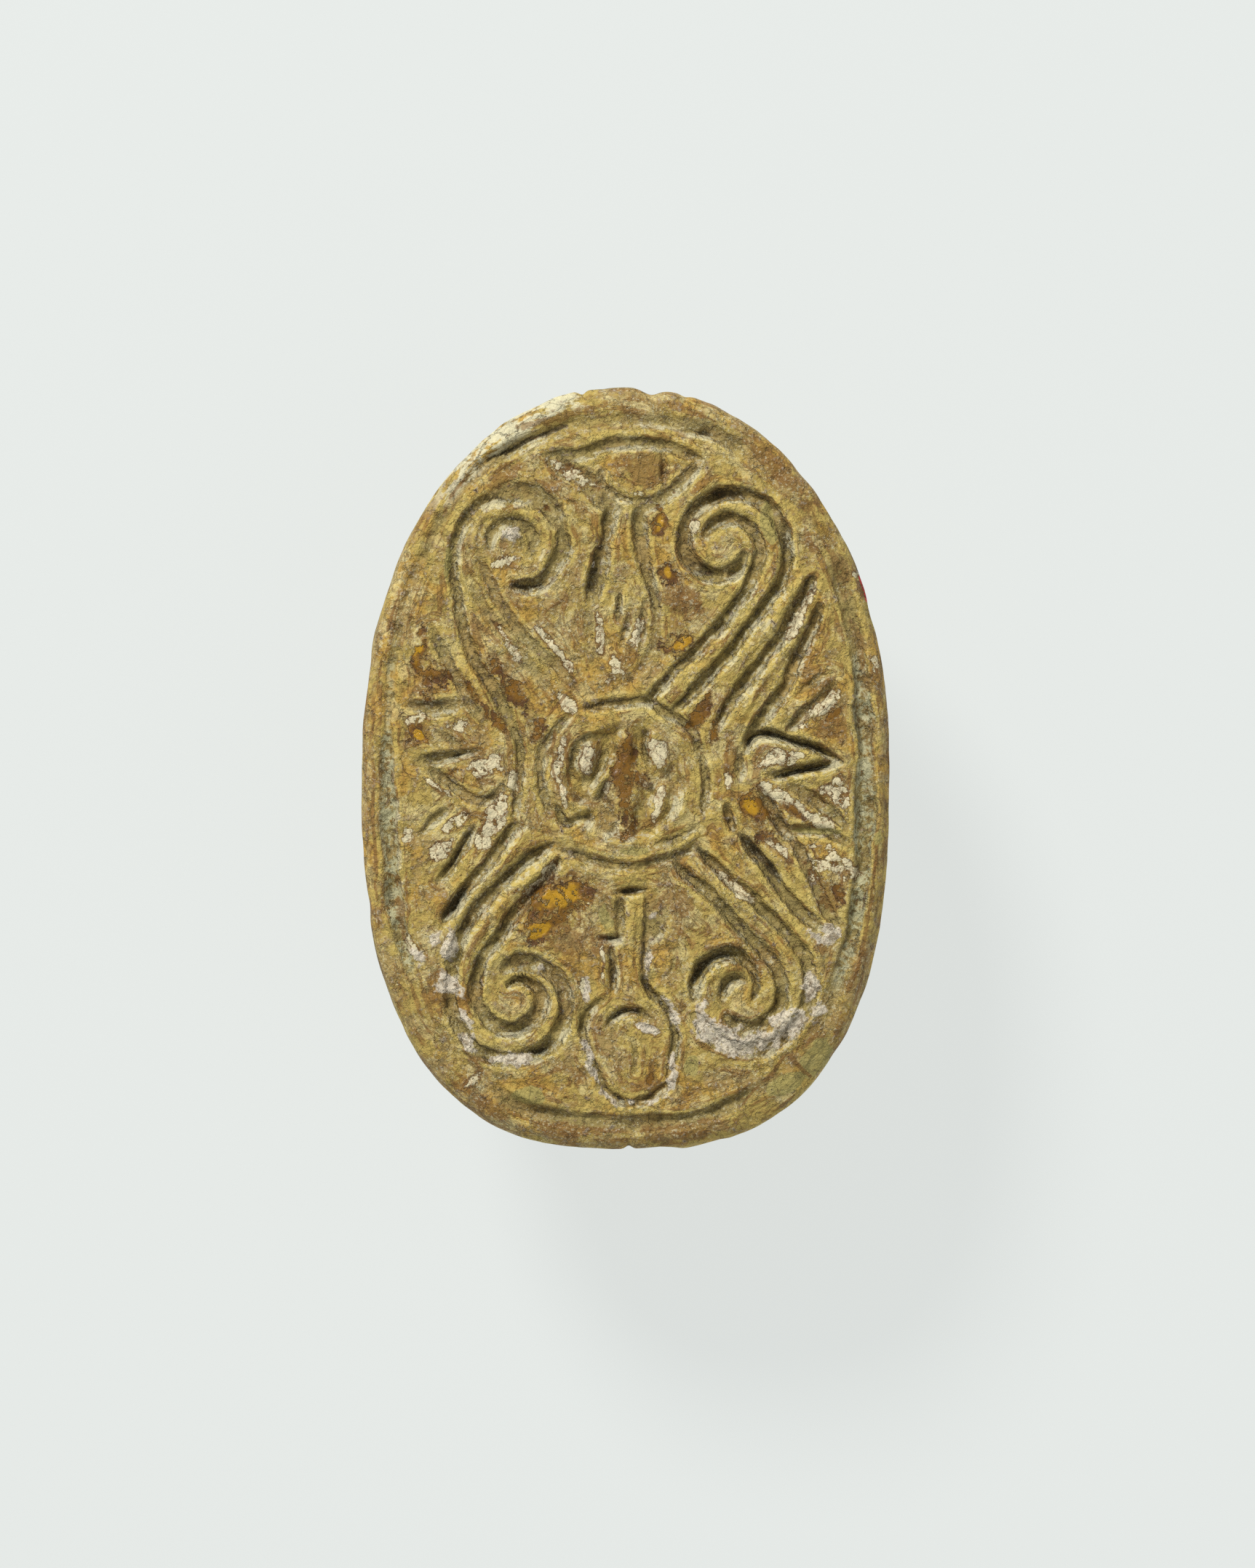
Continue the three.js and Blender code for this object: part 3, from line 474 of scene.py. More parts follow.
# Stretches of it, in degrees: where each starts, is whole, starts to end, and ends.
BORDER_THIN = (100, 125, 168, 180)
BORDER_BOLD = (-46, -34, 18, 28)
BORDER_WEAR = (  # the share of its depth that is lost, and the stretch
    (0.45, BORDER_THIN), (0.5, (74, 82, 100, 108)), (0.75, (42, 50, 66, 74)), (0.75, (-142, -134, -116, -108)),
    (0.6, (-72, -68, -52, -46)),
)
# Nicks worn in the edge: place and half width in degrees, and depth.
NICKS = ((84.5, 2.2, 0.12), (99.5, 1.0, 0.10), (270.8, 0.9, 0.09), (23, 3.0, 0.06), (200, 2.5, 0.05), (77, 1.2, 0.05))

# ---- fields over the face
STEP = 0.04
MARGIN = 0.5
AXIS_X = np.arange(-WIDTH / 2 - MARGIN, WIDTH / 2 + MARGIN, STEP)
AXIS_Y = np.arange(-LENGTH / 2 - MARGIN, LENGTH / 2 + MARGIN, STEP)
PLAN = np.meshgrid(AXIS_X, AXIS_Y)


def blurred(field, radius):
    """A field with each place averaged over its surroundings, radius in millimetres."""
    reach = int(math.ceil(3 * radius / STEP))
    weights = np.exp(-0.5 * (np.arange(-reach, reach + 1) * STEP / radius) ** 2)
    weights /= weights.sum()
    for axis in (0, 1):
        padded = np.pad(field, [(reach, reach) if a == axis else (0, 0) for a in (0, 1)], mode="edge")
        size = field.shape[axis]
        field = sum(w * padded.take(range(i, i + size), axis=axis) for i, w in enumerate(weights))
    return field


def sampled(field, x, y):
    """A field's values at places in plan."""
    u = np.clip((x - AXIS_X[0]) / STEP, 0, len(AXIS_X) - 1.001)
    v = np.clip((y - AXIS_Y[0]) / STEP, 0, len(AXIS_Y) - 1.001)
    i, j = u.astype(int), v.astype(int)
    fu, fv = u - i, v - j
    near = field[j, i] * (1 - fu) + field[j, i + 1] * fu
    far = field[j + 1, i] * (1 - fu) + field[j + 1, i + 1] * fu
    return near * (1 - fv) + far * fv


def run_through(points, spacing=0.08):
    """A smooth line through a few places, as evenly spaced points."""
    p = np.pad(np.array(points, float), ((1, 1), (0, 0)), mode="edge")
    line = []
    for a, b, c, d in zip(p, p[1:], p[2:], p[3:]):
        for t in np.linspace(0, 1, max(2, int(np.hypot(*(c - b)) / spacing)), endpoint=False):
            bend = (2 * a - 5 * b + 4 * c - d) * t**2 + (3 * b - a - 3 * c + d) * t**3
            line.append(0.5 * (2 * b + (c - a) * t + bend))
    return np.array(line + [p[-1]])


def window(low, high, axis):
    """The slice of an axis that covers low to high."""
    start = max(0, int((low - axis[0]) / STEP))
    return slice(start, max(start + 1, int((high - axis[0]) / STEP) + 2))


FAR = 0.8  # strokes are felt this far from their middle


def stamp(fields, x, y, points, width, height, core, run_in):
    """Add a stroke to the fields: its relief, which fades over its edges and its two ends, the distance from the
    nearest stroke's lip, and that stroke's own height."""
    relief, nearest, bite = fields
    line = run_through(points)
    widths = np.atleast_1d(width)
    along = np.concatenate([[0], np.cumsum(np.hypot(*np.diff(line, axis=0).T))])
    for a, b, s in zip(line, line[1:], (along[1:] + along[:-1]) / 2):
        ends = smooth(-0.25 * run_in, run_in, min(s, along[-1] - s))
        full = np.interp(s / along[-1], np.linspace(0, 1, len(widths)), widths)
        half = full / 2 * (0.55 + 0.45 * ends)
        area = (
            window(min(a[1], b[1]) - FAR, max(a[1], b[1]) + FAR, AXIS_Y),
            window(min(a[0], b[0]) - FAR, max(a[0], b[0]) + FAR, AXIS_X),
        )
        dx, dy = x[area] - a[0], y[area] - a[1]
        way = b - a
        t = np.clip((dx * way[0] + dy * way[1]) / (way @ way + 1e-12), 0, 1)
        away = np.hypot(dx - t * way[0], dy - t * way[1])
        local = height * (0.3 + 0.7 * ends)
        relief[area] = np.maximum(relief[area], local * (1 - smooth(core, 1.15, away / half)))
        bite[area] = np.where(away - half < nearest[area], local, bite[area])
        nearest[area] = np.minimum(nearest[area], away - half)


def strokes_fields(strokes, x, y, core=0.45, run_in=0.5):
    """The three fields of stamp for a table of strokes. A stroke is at full depth over the core share of its width."""
    fields = np.zeros_like(x), np.full_like(x, FAR), np.zeros_like(x)
    for width, height, points in strokes:
        stamp(fields, x, y, points, width, height, core, run_in)
    return fields


def lines_field(lines, x, y):
    """1 along painted lines and 0 away from them."""
    return strokes_fields([(width, 1.0, points) for width, points in lines], x, y, 0.4, 0.2)[0]


def patches_field(patches, x, y, ragged, inner=0.7):
    """1 inside irregular patches and 0 outside."""
    field = np.zeros_like(x)
    for px, py, length, breadth, turn in patches:
        c, s = math.cos(math.radians(turn)), math.sin(math.radians(turn))
        u = ((x - px) * c + (y - py) * s) / length
        v = ((y - py) * c - (x - px) * s) / breadth
        field = np.maximum(field, 1 - smooth(inner, 1.3, np.hypot(u, v) + ragged))
    return field


def border_field(x, y):
    """The groove that runs round inside the edge, worn thin in places, and the distance from it."""
    gap = np.abs(oval_gap(x, y, *BORDER))
    turn = np.degrees(np.arctan2(y, x))
    wear = sum(amount * between(*zone, turn) for amount, zone in BORDER_WEAR)
    thin, bold = between(*BORDER_THIN, turn), between(*BORDER_BOLD, turn)
    depth = (0.22 + 0.1 * bold) * (1 - wear) * (1 + 0.35 * noise((x, y), 0.9, 5))
    half = 0.23 * (1 - 0.3 * thin + 0.1 * bold) * (1 + 0.25 * noise((x, y), 1.3, 6))
    return depth * (1 - smooth(0.4, 1.15, gap / half)), gap - half


def face_fields():
    """Height of the engraved face, and the masks of what covers it and of where light and shade are painted, over its
    plan.
    """
    x, y = PLAN
    warp = [0.05 * fractal((x, y), 0.9, 3, seed) + 0.018 * fractal((x, y), 4.0, 3, seed + 2) for seed in (11, 12)]
    wx, wy = x + warp[0] + DESIGN_SHIFT[0], y + warp[1] + DESIGN_SHIFT[1]
    ragged = 0.45 * fractal((x, y), 2.2, 5, 21)
    coarse = fractal((x, y), 2.8, 4, 26)

    graved, nearest, bite = strokes_fields(STROKES, wx, wy)
    border, border_away = border_field(wx, wy)
    cut = np.maximum(GRAVING * graved, border)
    cut = cut * (1 + 0.2 * fractal((x, y), 1.5, 3, 24) - 0.3 * smooth(0.0, 1.0, coarse))
    slit = strokes_fields(DEEP, wx, wy, core=0.6)[0]
    cut = cut + slit
    raised = RIDGE_GAIN * strokes_fields(RIDGES, wx, wy, core=0.2, run_in=0.9)[0]
    bite = np.where(border_away < nearest, blurred(border, 0.1) * 1.3, bite)
    away = np.minimum(nearest, border_away)
    masks = {
        "amber": patches_field(AMBER_PATCHES, wx, wy, ragged, 0.3),
        "brown": patches_field(BROWN_PATCHES, wx, wy, 1.3 * ragged),
        "white": patches_field(WHITE_PATCHES, wx, wy, 1.3 * ragged, 0.55),
        "crust": patches_field(CRUST_PATCHES, wx, wy, 1.3 * ragged, 0.4),
        "honey": patches_field(HONEY_PATCHES, wx, wy, ragged, 0.4),
        "line": lines_field(BROWN_LINES, wx, wy),
        "olive": patches_field(OLIVE_PATCHES, wx, wy, ragged),
        "ink": lines_field(INK, wx, wy),
    }

    well_x, well_y, well_across, well_along, well_depth = ROUNDEL_WELL
    well = 1 - smooth(0.84, 1.02, np.hypot((wx - well_x) / well_across, (wy - well_y) / well_along))
    islands = strokes_fields(ISLANDS, wx, wy, core=0.5, run_in=0.2)[0]
    level = 0.05 * fractal((x, y), 0.35, 3, 23) + 0.03 * fractal((x, y), 1.4, 3, 25) + 0.03 * coarse
    height = level + raised - blurred(cut, 0.03) - well_depth * well + blurred(islands, 0.03)
    height = height + masks["crust"] * (0.6 * cut + 0.04 + 0.05 * coarse)
    height = height - 0.02 * masks["brown"] - 0.02 * masks["amber"]

    masks["cut"] = np.clip(cut / 0.3, 0, 1.5)
    # Deep slits, painted dark by the material as painted shade.
    masks["slit"] = np.clip(slit / 0.14, 0, 1)
    # Above 0 on places raised above their surroundings, below 0 in hollows: painted highlights and painted shade
    # follow it.
    masks["edge"] = np.clip((height - blurred(height, 0.14)) / 0.06, -1, 1)
    masks["away"] = np.clip(away, -0.4, 0.8)
    masks["bite"] = np.clip(blurred(bite, 0.06) / 0.3, 0, 1.5)
    gap = outline_gap(x, y)
    masks["flow"] = np.minimum(away, -gap)
    turn = np.degrees(np.arctan2(y, x))
    both_sides = np.degrees(np.arctan2(y, np.abs(x)))
    masks["border"] = blurred(border, 0.04) / 0.2 * between(-52, -42, 22, 32, both_sides)
    # How much the surface faces the key light at the upper left, weaker near the edge: painted highlights go where it
    # faces the light and painted shade where it faces away.
    slope_y, slope_x = np.gradient(blurred(height, 0.05), STEP)
    masks["facing"] = (slope_x * 0.6 - slope_y * 0.8) / 0.7 * (1 - 0.8 * smooth(-1.0, -0.75, gap))
    # Painted light on the rim: lighter on the side towards the key light, darker at the bottom and the upper right.
    pale = 1.6 * np.exp(-(((turn - 110) / 24) ** 2))
    rim_shade = 0.6 * smooth(-9.2, -7.2, y) + 0.4 * np.exp(-(((turn - 36) / 20) ** 2))
    masks["rim"] = smooth(-0.85, -0.35, gap) * (pale - rim_shade)
    return height, masks


# ---- the rim
def rim_wobble(turn):
    """How far the outline stands out or in: slow unevenness, and the worn nicks and lobes."""
    c, s = np.cos(turn), np.sin(turn)
    wobble = 0.035 * fractal((c, s), 2.0, 3, 41) + 0.02 * fractal((c, s), 9.0, 3, 42)
    degrees = np.degrees(turn) % 360
    for place, spread, depth in NICKS:
        wobble = wobble - depth * np.exp(-(((degrees - place) / spread) ** 2))
    return wobble


def chip_drop(x, y, z):
    """The height left after the chips are broken off."""
    for (px, py), facing, slope in CHIPS:
        c, s = math.cos(math.radians(facing)), math.sin(math.radians(facing))
        out = (x - px) * c + (y - py) * s
        side = (y - py) * c - (x - px) * s
        plane = HEIGHT - out * math.tan(math.radians(slope)) + 0.02 * noise((x, y), 3.0, 51)
        plane = plane + smooth(0.7, 1.0, np.abs(side + 0.2 * noise((x, y), 1.1, 52)) / CHIP_SPREAD)
        z = np.where(out > -CHIP_REACH, np.minimum(z, plane), z)
    return z


def concentric(cells):
    """A square grid wrapped onto a disc: each point's turn and its share of the radius, and the border's order."""
    a, b = np.meshgrid(np.linspace(-1, 1, cells + 1), np.linspace(-1, 1, cells + 1))
    wide = np.abs(a) > np.abs(b)
    radius = np.where(wide, a, b)
    safe = np.where(radius == 0, 1, radius)
    turn = np.where(wide, math.pi / 4 * b / safe, math.pi / 2 - math.pi / 4 * a / safe)
    turn = np.arctan2(radius * np.sin(turn), radius * np.cos(turn))
    index = np.arange((cells + 1) ** 2).reshape(cells + 1, cells + 1)
    border = np.concatenate([index[:-1, -1], index[-1, :0:-1], index[:0:-1, 0], index[0, :-1]])
    quads = np.stack([index[:-1, :-1], index[:-1, 1:], index[1:, 1:], index[1:, :-1]], -1).reshape(-1, 4)
    return turn.ravel(), np.abs(radius).ravel(), border, quads


# ---- the flanks and the back
TRACE_STEPS = 48
TRACE_SHARE = 0.7  # of the gap, taken at each step
OUTSIDE = 13.0  # a start clear of the stone
# Lines cut on the back: depth, where it starts to rise and ends beside the line, and the line in plan.
BACK_LINES = (
    (0.15, 0.06, 0.24, [(0, 2.3), (0, -9.6)]),
    (0.17, 0.07, 0.26, [(0, 2.5), (3.8, 2.1), (5.6, 1.5), (6.6, 1.1)]),
    (0.08, 0.05, 0.20, [(5.6, 1.2), (5.3, -2.5), (4.4, -5.6), (2.6, -7.9)]),
)


def plan_distance(x, y, line):
    """Distance in plan to a line of points."""
    best = np.full(x.shape, FAR_OFF)
    for a, b in zip(np.array(line[:-1], float), np.array(line[1:], float)):
        way = b - a
        t = np.clip(((x - a[0]) * way[0] + (y - a[1]) * way[1]) / (way @ way), 0, 1)
        best = np.minimum(best, np.hypot(x - a[0] - t * way[0], y - a[1] - t * way[1]))
    return best


def dome_gap(x, y, z, dome):
    """About how far outside a dome below the shoulder a point is."""
    middle, across, along, depth = dome
    power = BACK_SQUARENESS
    plan = ((np.abs(x) / across) ** power + (np.abs(y - middle) / along) ** power) ** (1 / power)
    return (np.hypot(plan, np.maximum(0, SHOULDER_Z - z) / depth) - 1) * min(across, depth + 0.4)


def leg_lines():
    """Each leg's places (x, y, z) on the +X flank, closely spaced."""
    lines = []
    for leg in LEGS:
        run = run_through(leg, 0.5)
        half = np.array([flank_half_width(y) for y in run[:, 0]])
        lines.append(np.column_stack([half, run]))
    return lines


def flank_half_width(y):
    """The waist's half width at a place along the seal."""
    power = HEAD_SQUARENESS if y > 0 else TAIL_SQUARENESS
    reach = min(1, abs(y) / (LENGTH / 2 - FLANK_INSET))
    return (WIDTH / 2 - FLANK_INSET) * (1 - reach**power) ** (1 / power)


LEG_LINES = leg_lines()


def beetle_gap(p):
    """About how far outside the carved beetle, below the plate, each point is."""
    x, y, z = p.T
    side = np.abs(x)
    flank = np.maximum(outline_gap(x, y, FLANK_INSET), SHOULDER_Z - 0.15 - z)
    gap = smooth_min(flank, dome_gap(x, y, z, BODY), 0.25)
    gap = smooth_min(gap, dome_gap(x, y, z, HEAD), 0.2)
    eye = np.sqrt((side - EYE_PLACE[0]) ** 2 + (y - EYE_PLACE[1]) ** 2 + (z - EYE_PLACE[2]) ** 2) - EYE_RADIUS
    gap = smooth_min(gap, eye, 0.15)
    outlines = np.zeros_like(x)
    for line in LEG_LINES:
        leg = np.full(x.shape, FAR_OFF)
        for a, b in zip(line, line[1:]):
            way = b - a
            away = np.column_stack([side, y, z]) - a
            t = np.clip(away @ way / (way @ way), 0, 1)
            leg = np.minimum(leg, np.linalg.norm(away - t[:, None] * way, axis=1))
        hatch = 0.06 * smooth(0.2, 0.9, np.sin(9.0 * (y + 0.6 * z)))
        gap = smooth_min(gap, leg - LEG_RADIUS + hatch, 0.06)
        outlines = np.maximum(outlines, LEG_OUTLINE * (1 - smooth(0.04, 0.22, np.abs(leg - LEG_RADIUS - 0.1))))
    below = 1 - smooth(SHOULDER_Z - 0.2, SHOULDER_Z + 0.5, z)
    cuts = [depth * (1 - smooth(floor, lip, plan_distance(side, y, line))) for depth, floor, lip, line in BACK_LINES]
    gap = gap + np.maximum.reduce(cuts) * below + outlines
    mouth_radius, mouth_inset = THREAD_MOUTH
    for end in (-1, 1):
        mouth_y = end * (LENGTH / 2 - mouth_inset)
        mouth = np.sqrt(x**2 + (y - mouth_y) ** 2 + (z - THREAD_HOLE_Z) ** 2) - mouth_radius
        gap = -smooth_min(-gap, mouth, 0.2)
    worn = 0.05 * fractal((x, y, z), 0.8, 3, 61) + 0.03 * fractal((x, y, z), 3.0, 3, 62)
    return gap - worn


def traced(origin, way, start):
    """Where lines running in from outside first meet the beetle."""
    distance = np.full(len(way), start)
    for _ in range(TRACE_STEPS):
        distance = distance - TRACE_SHARE * beetle_gap(origin + way * distance[:, None])
    return origin + way * distance[:, None]


def flank_points(turn):
    """Rows round the flank from under the plate down to the shoulder."""
    rows = []
    for z in np.linspace(HEIGHT - PLATE_THICKNESS - 0.03, SHOULDER_Z - 0.1, FLANK_ROWS):
        x, y = outline_points(turn, FLANK_INSET)
        reach = np.hypot(x, y)
        way = np.column_stack([x / reach, y / reach, np.zeros(len(x))])
        rows.append(traced(np.array([0, 0, z]), way, reach.max() + 1.0))
    return rows


def back_points(turn, share, rim):
    """The back, as points on rays that fan out from inside the stone, ending on the last flank row."""
    origin = np.array([0, -0.5, SHOULDER_Z + 1.0])
    reach = rim - origin
    reach /= np.linalg.norm(reach, axis=1)[:, None]
    around = np.linspace(0, 2 * math.pi, len(rim), endpoint=False) - math.pi / 4
    place = ((turn - around[0]) % (2 * math.pi)) / (2 * math.pi) * len(rim)
    low = np.floor(place).astype(int)
    part = (place - low)[:, None]
    outer = reach[low % len(rim)] * (1 - part) + reach[(low + 1) % len(rim)] * part
    plan = np.hypot(outer[:, 0], outer[:, 1])
    fall = np.arctan2(plan, -outer[:, 2]) * share
    way = np.column_stack([outer[:, 0] / plan * np.sin(fall), outer[:, 1] / plan * np.sin(fall), -np.cos(fall)])
    return traced(origin, way, OUTSIDE)


# ---- the mesh
def face_points(height, turn, share):
    """The engraved face inside the rim's rows."""
    x, y = outline_points(turn, RIM_PROFILE[0][0])
    grow = rim_wobble(turn) * share**4
    x, y = x * share + grow * np.cos(turn), y * share + grow * np.sin(turn)
    z = HEIGHT + sampled(height, x, y)
    return np.column_stack([x, y, chip_drop(x, y, z)])


def rim_points(height, turn, inset, drop):
    """One row of the rim."""
    x, y = outline_points(turn, inset)
    fade = smooth(FLANK_INSET, 0.3, inset) if drop > 1 else 1.0
    grow = rim_wobble(turn) * fade
    layers = fractal((np.cos(turn), np.sin(turn), np.full_like(turn, 3.0 * drop - 2.0 * inset)), 2.2, 4, 43)
    grow = grow + 0.045 * layers * smooth(0.5, 0.1, inset) * fade
    x, y = x + grow * np.cos(turn), y + grow * np.sin(turn)
    top = 1 - smooth(0.3, 1.0, drop)
    z = HEIGHT - drop + sampled(height, x, y) * top
    if drop < 1:
        z = chip_drop(x, y, z)
    return np.column_stack([x, y, z])


def ring_quads(upper, lower):
    """Quads between two closed rows of the same count."""
    return np.stack([upper, lower, np.roll(lower, -1), np.roll(upper, -1)], -1)


def halving_faces(upper, lower):
    """Triangles between a closed row and one of half its count below it."""
    here, middle, there = upper[::2], upper[1::2], np.roll(upper, -2)[::2]
    beyond = np.roll(lower, -1)
    corners = (here, lower, middle), (middle, lower, beyond), (middle, beyond, there)
    return np.concatenate([np.stack(triangle, -1) for triangle in corners])


def seal_surface(height):
    """Points, quads and triangles of the whole closed surface."""
    turn, share, border, face_quads = concentric(FACE_CELLS)
    points = [face_points(height, turn, share)]
    quads, last = [face_quads], border
    count = len(points[0])
    around = turn[border]
    for inset, drop in RIM_PROFILE[1:]:
        row = np.arange(count, count + len(border))
        points.append(rim_points(height, around, inset, drop))
        quads.append(ring_quads(last, row))
        last, count = row, count + len(row)

    rows = flank_points(around[::2])
    triangles = halving_faces(last, np.arange(count, count + len(rows[0])))
    for i, row_points in enumerate(rows):
        row = np.arange(count, count + len(row_points))
        points.append(row_points)
        if i:
            quads.append(ring_quads(last, row))
        last, count = row, count + len(row)

    turn, share, border, back_quads = concentric(BACK_CELLS)
    inner = np.ones(len(turn), bool)
    inner[border] = False
    index = np.empty(len(turn), int)
    index[border] = last
    index[inner] = np.arange(count, count + inner.sum())
    points.append(back_points(turn[inner], share[inner], rows[-1]))
    quads.append(index[back_quads][:, ::-1])
    points = np.concatenate(points)
    points[:, 2] = np.maximum(points[:, 2], 0)
    return points, np.concatenate(quads), triangles


def make_mesh(name, points, quads, triangles):
    """A mesh from points in millimetres and faces by index."""
    mesh = bpy.data.meshes.new(name)
    corners = np.concatenate([quads.ravel(), triangles.ravel()]).astype(np.int32)
    totals = np.concatenate([np.full(len(quads), 4), np.full(len(triangles), 3)]).astype(np.int32)
    mesh.vertices.add(len(points))
    mesh.vertices.foreach_set("co", (points * MM).ravel())
    mesh.loops.add(len(corners))
    mesh.loops.foreach_set("vertex_index", corners)
    mesh.polygons.add(len(totals))
    mesh.polygons.foreach_set("loop_start", np.concatenate([[0], np.cumsum(totals)[:-1]]).astype(np.int32))
    mesh.polygons.foreach_set("loop_total", totals)
    mesh.update(calc_edges=True)
    mesh.validate()
    return mesh


def points_and_normals(mesh):
    """The points, in millimetres, and their normals."""
    count = len(mesh.vertices)
    points, normals = np.empty(count * 3, np.float32), np.empty(count * 3, np.float32)
    mesh.vertices.foreach_get("co", points)
    mesh.vertex_normals.foreach_get("vector", normals)
    return points.reshape(-1, 3).astype(float) / MM, normals.reshape(-1, 3).astype(float)


# Patches on the flanks and the back: where they start and are whole in the noise, and its scale, octaves and seed.
PLAIN_PATCHES = {
    "amber": (0.5, 0.9, 0.45, 4, 81),
    "brown": (0.15, 0.9, 0.6, 4, 82),
    "white": (0.55, 1.0, 0.9, 4, 83),
    "crust": (0.75, 1.1, 0.5, 4, 84),
    "honey": (0.3, 0.7, 0.7, 4, 86),
    "olive": (0.6, 1.1, 0.9, 5, 85),
}


def surface_masks(mesh, face_masks):
    """The masks at every point: the face's own on the face, and plainer ones on the flanks and the back."""
    points, normals = points_and_normals(mesh)
    x, y, z = axes = points.T
    top = smooth(HEIGHT - PLATE_THICKNESS, HEIGHT - 0.8, z)
    # Hollows under the plate and beside the legs, painted dark on the flanks as painted shade.
    recess = smooth(0.02, 0.16, 0.3 - beetle_gap(points + 0.3 * normals))
    plain = {name: smooth(low, high, fractal(axes, *lumps)) for name, (low, high, *lumps) in PLAIN_PATCHES.items()}
    plain |= {
        "cut": recess,
        "slit": recess * smooth(SHOULDER_Z - 0.1, SHOULDER_Z + 0.3, z),
        "away": 0.5,
        "flow": z + 0.2 * y,
        # Above 0 on raised places and below 0 in hollows, for the painted highlights and painted shade.
        "edge": np.clip((beetle_gap(points - 0.2 * normals) + 0.2) / 0.12, -1, 1),
    }
    return {
        name: plain.get(name, 0) * (1 - top) + sampled(field, x, y) * top for name, field in face_masks.items()
    }


# ---- materials
def srgb(red, green, blue):
    """A colour given as on a screen, from 0 to 255, in linear light."""
    shares = (value / 255 for value in (red, green, blue))
    return (*(s / 12.92 if s <= 0.04045 else ((s + 0.055) / 1.055) ** 2.4 for s in shares), 1.0)


class Nodes:
    """Short calls for wiring a node material."""

    def __init__(self, name):
        self.material = bpy.data.materials.new(name)
        self.material.use_nodes = True
        self.tree = self.material.node_tree
        self.shader = self.tree.nodes["Principled BSDF"]
        self.colour = None
        place = self.tree.nodes.new("ShaderNodeTexCoord")
        self.place = self.call("ShaderNodeVectorMath", {"operation": "SCALE"}, place.outputs["Object"], Scale=1 / MM)

    def call(self, kind, settings=None, *inputs, **named):
        """Add a node, its inputs given as numbers or as other nodes' outputs. Returns its first output."""
        node = self.tree.nodes.new(kind)
        for name, value in (settings or {}).items():
            setattr(node, name, value)
        given = list(zip((socket for socket in node.inputs if socket.enabled), inputs))
        given += [(node.inputs[name], value) for name, value in named.items()]
        for socket, value in given:
            if isinstance(value, bpy.types.NodeSocket):
                self.tree.links.new(value, socket)
            else:
                socket.default_value = value
        return next(socket for socket in node.outputs if socket.enabled)

    def mask(self, name):
        return self.call("ShaderNodeAttribute", {"attribute_name": name}).node.outputs["Fac"]

    def chained(self, operation, values):
        result, *others = values
        for value in others:
            result = self.call("ShaderNodeMath", {"operation": operation}, result, value)
        return result

    def times(self, *values):
        return self.chained("MULTIPLY", values)

    def add(self, *terms):
        """The terms added up. A term is a value, or a tuple of values to multiply."""
        return self.chained("ADD", [self.times(*term) if isinstance(term, tuple) else term for term in terms])

    def rise(self, value, low, high):
        """0 at low, 1 at high."""
        settings = {"interpolation_type": "SMOOTHSTEP"}
        return self.call("ShaderNodeMapRange", settings, value, low, high, 0.0, 1.0)

    def lumps(self, per_mm, detail=4.0, roughness=0.55, shift=0.0, stretch=0.0):
        """Noise with so many lumps to a millimetre, about 0.5 in the mean."""
        moved = self.call("ShaderNodeVectorMath", {"operation": "ADD"}, self.place, (shift, -shift, 0.7 * shift))
        return self.call("ShaderNodeTexNoise", None, moved, per_mm, detail, roughness, Distortion=stretch)

    def streaks(self, across, per_mm, along):
        """Noise drawn out along the lines where the value across stays the same."""
        x = self.call("ShaderNodeSeparateXYZ", None, self.place)
        axes = (across, per_mm), (x, along), (x.node.outputs["Y"], along)
        moved = self.call("ShaderNodeCombineXYZ", None, *(self.times(*axis) for axis in axes))
        return self.call("ShaderNodeTexNoise", None, moved, 1.0, 6.0, 0.6)

    def cracks(self, per_mm, width):
        """Thin wandering lines that part the surface into cells."""
        wander = self.call("ShaderNodeTexNoise", None, self.place, 1.3 * per_mm, 6.0, 0.65)
        way = wander.node.outputs["Color"]
        shift = self.call("ShaderNodeVectorMath", {"operation": "SCALE"}, way, Scale=1.2 / per_mm)
        moved = self.call("ShaderNodeVectorMath", {"operation": "ADD"}, self.place, shift)
        edges = self.call("ShaderNodeTexVoronoi", {"feature": "DISTANCE_TO_EDGE"}, moved, per_mm)
        return self.rise(edges, 0.3 * width, 0.0)

    def band(self, value, middle, width):
        """1 where the value is at the middle, and 0 a width away from it."""
        off = self.call("ShaderNodeMath", {"operation": "ABSOLUTE"}, self.add(value, -middle))
        return self.rise(off, width, 0.0)

    def paint(self, under, over, share):
        return self.call("ShaderNodeMix", {"data_type": "RGBA", "clamp_factor": True}, share, under, over)

    def coat(self, over, *shares):
        """Paint over the colour so far, by the product of the shares."""
        self.colour = self.paint(self.colour, over, self.times(*shares))


TAN = srgb(184, 159, 82)
OCHRE = srgb(188, 149, 64)
GREY_TAN = srgb(166, 140, 84)
CREAM = srgb(222, 206, 144)
ORANGE_BROWN = srgb(142, 102, 42)
BROWN = srgb(100, 70, 32)
GROOVE_FLOOR = srgb(160, 142, 84)
# Dark dirt, cracks and pits, and painted shade in hollows, along groove lips and on walls facing away from the key
# light.
GROOVE_DARK = srgb(74, 64, 32)
# Painted shade in the deep slits and in the hollows beside the legs.
SLIT_SHADE = srgb(66, 54, 28)
# Painted highlight on raised edges and the lips of the grooves.
EDGE_HIGHLIGHT = srgb(212, 188, 102)
